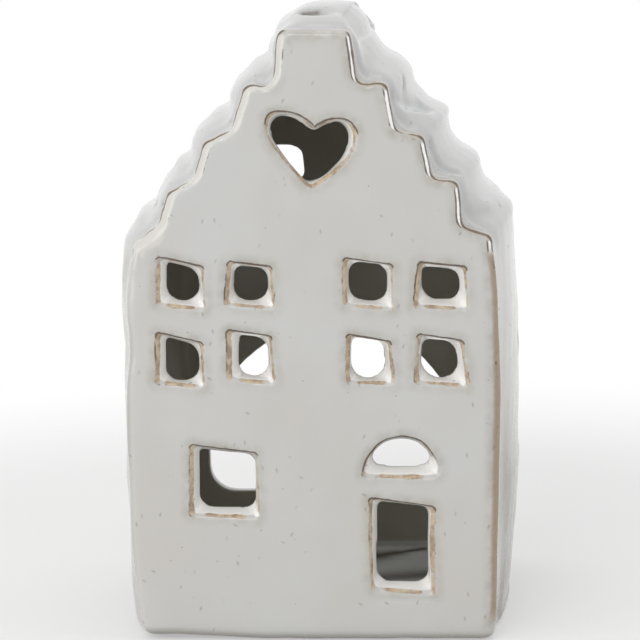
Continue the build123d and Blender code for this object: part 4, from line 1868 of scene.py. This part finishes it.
@dataclass
class Tealight:
    """The candle: ribbed cup, wax, tab and wick. Sizes in millimetres, heights from the cup's foot."""

    diameter: float = 38.0
    height: float = 16.0
    wall: float = 0.4
    rim_width: float = 0.9
    draft: float = 0.5
    wax_level: float = 13.4
    rib_count: int = 48
    rib: float = 0.16
    wick_radius: float = 0.75
    wick_foot: float = 0.5
    wick_top: float = 17.9
    wick_bend: float = 0.55
    wick_rows: int = 150
    wick_segments: int = 24
    left: float = 7.0
    forward: float = 6.0
    seat: float = 5.8
    segments: int = 384

    def place(self, piece: Object) -> Object:
        """Moves a piece's mesh to the candle's place in the house."""
        piece.data.transform(Matrix.Translation(Vector((-self.left, -self.forward, self.seat)) * MM))
        return piece

    def cup(self) -> Object:
        """Pressed cup with crimped sides and a rolled rim.

        Returns:
            The cup's object.
        """
        rim, lip = self.diameter / 2, self.height
        top = rim - self.rim_width
        foot, bend = top - self.draft, top - self.draft - self.wall
        sheet = [
            (0, 0.15, 0.0), (foot - 4.0, 0.15, 0.0), (foot - 2.6, 0.0, 0.0), (foot - 0.7, 0.0, 0.0),
            (foot - 0.2, 0.25, 0.3), (foot, 0.8, 1.0),
        ]
        for share in (0.25, 0.5, 0.75, 0.92):
            sheet.append((foot + self.draft * share, 0.8 + (lip - 1.8) * share, 1.0))
        sheet += [
            (top + 0.05, lip - 0.75, 0.2), (rim - 0.15, lip - 0.6, 0.0), (rim, lip - 0.38, 0.0),
            (rim - 0.1, lip - 0.1, 0.0), (rim - 0.35, lip, 0.0), (top, lip - 0.02, 0.0),
            (top - 0.3, lip - 0.2, 0.0), (top - self.wall, lip - 0.6, 0.3), (bend, 1.0, 0.0),
            (bend - 0.6, self.wall, 0.0), (0, self.wall, 0.0),
        ]
        profile = [(radius, height) for radius, height, _ in sheet]
        waves = [share * self.rib for _, _, share in sheet]
        return self.place(lathe("tealight_cup_sheet", profile, self.segments, waves, self.rib_count))

    def wax(self) -> Object:
        """Wax with a drawn-up edge and a shallow dish round the wick.

        Returns:
            The wax's object.
        """
        edge = self.diameter / 2 - self.rim_width - self.wall - 0.1
        surface = [
            (edge - 0.05, 0.6), (edge - 0.02, 0.0), (edge - 0.25, 0.12), (edge - 0.7, 0.32),
            (edge - 1.8, 0.46), (edge - 5.0, 0.5), (5.0, 0.52), (2.6, 0.6), (1.5, 0.62), (1.05, 0.45),
            (self.wick_radius * 0.95, 0.2), (0, 0.2),
        ]
        profile = [(0, 0.5), (edge - self.draft, 0.5)]
        profile += [(radius, self.wax_level - fall) for radius, fall in surface]
        return self.place(lathe("tealight_wax_fill", profile, 96))

    def tab(self) -> Object:
        """Pressed tab with a neck that grips the wick, under the wax.

        Returns:
            The tab's object.
        """
        profile = [
            (0, 0.42), (6.2, 0.42), (6.5, 0.6), (6.3, 0.9), (2.4, 0.9), (1.75, 1.1),
            (1.6, 1.6), (1.45, 3.6), (1.3, 3.9), (0.9, 3.9), (0, 3.8),
        ]
        waves = [0.0, 0.0, 0.12, 0.1] + [0.0] * 7
        return self.place(lathe("wick_tab_pressing", profile, 64, waves, 8))

    def wick(self) -> Object:
        """Braided wick that bends a little at its free end.

        Returns:
            The wick's object.
        """
        rows, around = self.wick_rows, self.wick_segments
        points, faces = [], []
        for row in range(rows + 1):
            height = self.wick_foot + (self.wick_top - self.wick_foot) * row / rows
            free = max(0.0, (height - self.wax_level) / (self.wick_top - self.wax_level))
            bend = self.wick_bend * free**2
            taper, tip = (0.35, 0.12) if row == rows else (1.0, 0.0)
            for k in range(around):
                angle = 2 * math.pi * k / around
                braid = math.cos(3 * angle + height * 2.6) * math.cos(3 * angle - height * 2.6)
                radius = self.wick_radius * (0.88 + 0.12 * braid) * taper
                points.append((bend + radius * math.cos(angle), radius * math.sin(angle), height + tip))
        for row in range(rows):
            faces += ring_faces(row * around, (row + 1) * around, around)
        faces += [list(reversed(range(around))), [rows * around + k for k in range(around)]]
        made = add_object("wick_braid", np.array(points) * MM, faces)
        shade_smooth(made.data)
        return self.place(made)

    def dress(self, groups: Groups) -> list[Object]:
        """Builds and finishes all four pieces.

        Args:
            groups: The shared node groups.

        Returns:
            The pieces.
        """
        rows = (
            (self.cup(), PressedAluminium(), "tealight_cup"),
            (self.wax(), CandleWax(), "tealight_wax"),
            (self.tab(), TinnedSteel(), "wick_tab"),
            (self.wick(), WaxedCotton(), "wick"),
        )
        for piece, finish, node in rows:
            piece.data.materials.append(finish.material(groups))
            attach(piece, "tealight")
            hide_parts(node)
        return [row[0] for row in rows]


# The studio


@dataclass(frozen=True)
class Softbox:
    """A rectangular lamp that looks at a point."""

    name: str
    place: Place
    size: tuple[float, float]
    watts: float
    target: Place = (0.0, 0.0, 0.09)

    def light(self) -> Object:
        """Builds the lamp.

        Returns:
            The lamp's object.
        """
        data = bpy.data.lights.new(self.name, "AREA")
        data.shape = "RECTANGLE"
        data.size, data.size_y = self.size
        data.energy = self.watts
        lamp = linked(self.name, data)
        lamp.location = self.place
        way = Vector(self.target) - Vector(self.place)
        lamp.rotation_euler = way.to_track_quat("-Z", "Y").to_euler()
        return lamp


@dataclass
class Studio:
    """Pale floor, white surroundings, soft lamps and the camera. Lengths in metres."""

    eye: Place = (0.0607, -0.7594, 0.2089)
    target: Place = (-0.00159, 0.0, 0.07961)
    roll: float = -1.16
    lens: float = 156.0
    sensor: float = 36.0
    clip: Point = (0.01, 20.0)
    sky: float = 0.6
    floor_middle: float = 0.3
    floor_reach: float = 1.4
    floor_points: int = 96
    floor_lift: float = 0.4
    floor_fade: Point = (0.16, 0.34)
    floor_roughness: float = 0.7
    floor_shine: float = 0.2
    floor_tint: Rgb = (0.82, 0.82, 0.815)
    lamps: tuple[Softbox, ...] = (
        Softbox("left_softbox", (-0.66, -0.44, 0.3), (0.5, 0.6), 1.75, (0.0, -0.02, 0.1)),
        Softbox("right_strip", (0.78, -0.30, 0.27), (0.10, 0.54), 0.6, (0.0, -0.02, 0.1)),
        Softbox("front_key", (-0.3, -1.0, 0.9), (0.5, 0.5), 2.5),
        Softbox("top_softbox", (0.1, 0.05, 1.1), (0.9, 0.9), 2.2),
    )

    def camera(self) -> None:
        """Places the camera at the photograph's angle."""
        data = bpy.data.cameras.new("camera")
        data.lens = self.lens
        data.sensor_width = self.sensor
        data.clip_start, data.clip_end = self.clip
        camera = linked("camera", data)
        ahead = (Vector(self.target) - Vector(self.eye)).normalized()
        right = ahead.cross(Vector((0, 0, 1))).normalized()
        up = right.cross(ahead)
        turn = math.radians(self.roll)
        across = right * math.cos(turn) + up * math.sin(turn)
        above = up * math.cos(turn) - right * math.sin(turn)
        rows = Matrix((across, above, -ahead)).transposed().to_4x4()
        camera.matrix_world = Matrix.Translation(Vector(self.eye)) @ rows
        bpy.context.scene.camera = camera

    def floor(self) -> None:
        """Lays a round pale floor that turns into the white surroundings further out."""
        count = self.floor_points
        angles = 2 * math.pi * np.arange(count) / count
        circle = np.stack([np.cos(angles), np.sin(angles), np.zeros(count)], 1)
        points = np.vstack([circle * self.floor_middle, circle * self.floor_reach])
        floor = add_object("floor", points, [list(range(count))] + ring_faces(count, 0, count))
        material, board, shader = new_material("pale_floor")
        board.feed(shader.inputs["Roughness"], self.floor_roughness)
        board.feed(shader.inputs["Specular IOR Level"], self.floor_shine)
        board.feed(shader.inputs["Base Color"], (*self.floor_tint, 1.0))
        spread = board.add("VectorMath", {0: board.place()}, operation="LENGTH").outputs["Value"]
        far = board.ramp(spread, *self.floor_fade, self.floor_lift, 1.0)
        rays = board.add("LightPath").outputs
        seen = board.most(rays["Is Camera Ray"], rays["Is Glossy Ray"])
        white = board.add("Emission", {"Color": (1.0, 1.0, 1.0, 1.0), "Strength": 1.0}).outputs[0]
        blend = board.add("MixShader", {0: board.times(far, seen), 1: shader.outputs[0], 2: white})
        board.feed(board.tree.nodes["Material Output"].inputs["Surface"], blend.outputs[0])
        floor.data.materials.append(material)

    def surroundings(self) -> None:
        """Lights the scene evenly from all round, and shows white to the camera and in reflections."""
        world = bpy.data.worlds.new("surroundings")
        bpy.context.scene.world = world
        world.use_nodes = True
        world.node_tree.nodes.clear()
        board = Board(world.node_tree)
        rays = board.add("LightPath").outputs
        seen = board.most(rays["Is Camera Ray"], rays["Is Glossy Ray"], rays["Is Transmission Ray"])
        strength = board.add("MapRange", {0: seen, 3: self.sky, 4: 1.0}).outputs[0]
        sky = board.add("Background", {"Color": (1.0, 1.0, 1.0, 1.0), "Strength": strength})
        board.add("OutputWorld", {"Surface": sky.outputs[0]})

    def build(self) -> None:
        """Builds the whole studio."""
        view = bpy.context.scene.view_settings
        view.view_transform = "Standard"
        self.surroundings()
        self.floor()
        self.camera()
        for lamp in self.lamps:
            lamp.light()


def main() -> None:
    """Builds the scene in order and reports each piece."""
    logging.basicConfig(level=logging.INFO, format="%(message)s")
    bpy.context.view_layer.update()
    groups = Groups()
    for piece in CeramicHouse().dress(GlazedStoneware().material(groups)) + Tealight().dress(groups):
        LOG.info("built %s with %d faces", piece.name, len(piece.data.polygons))
    Studio().build()


if __name__ == "__main__":
    main()
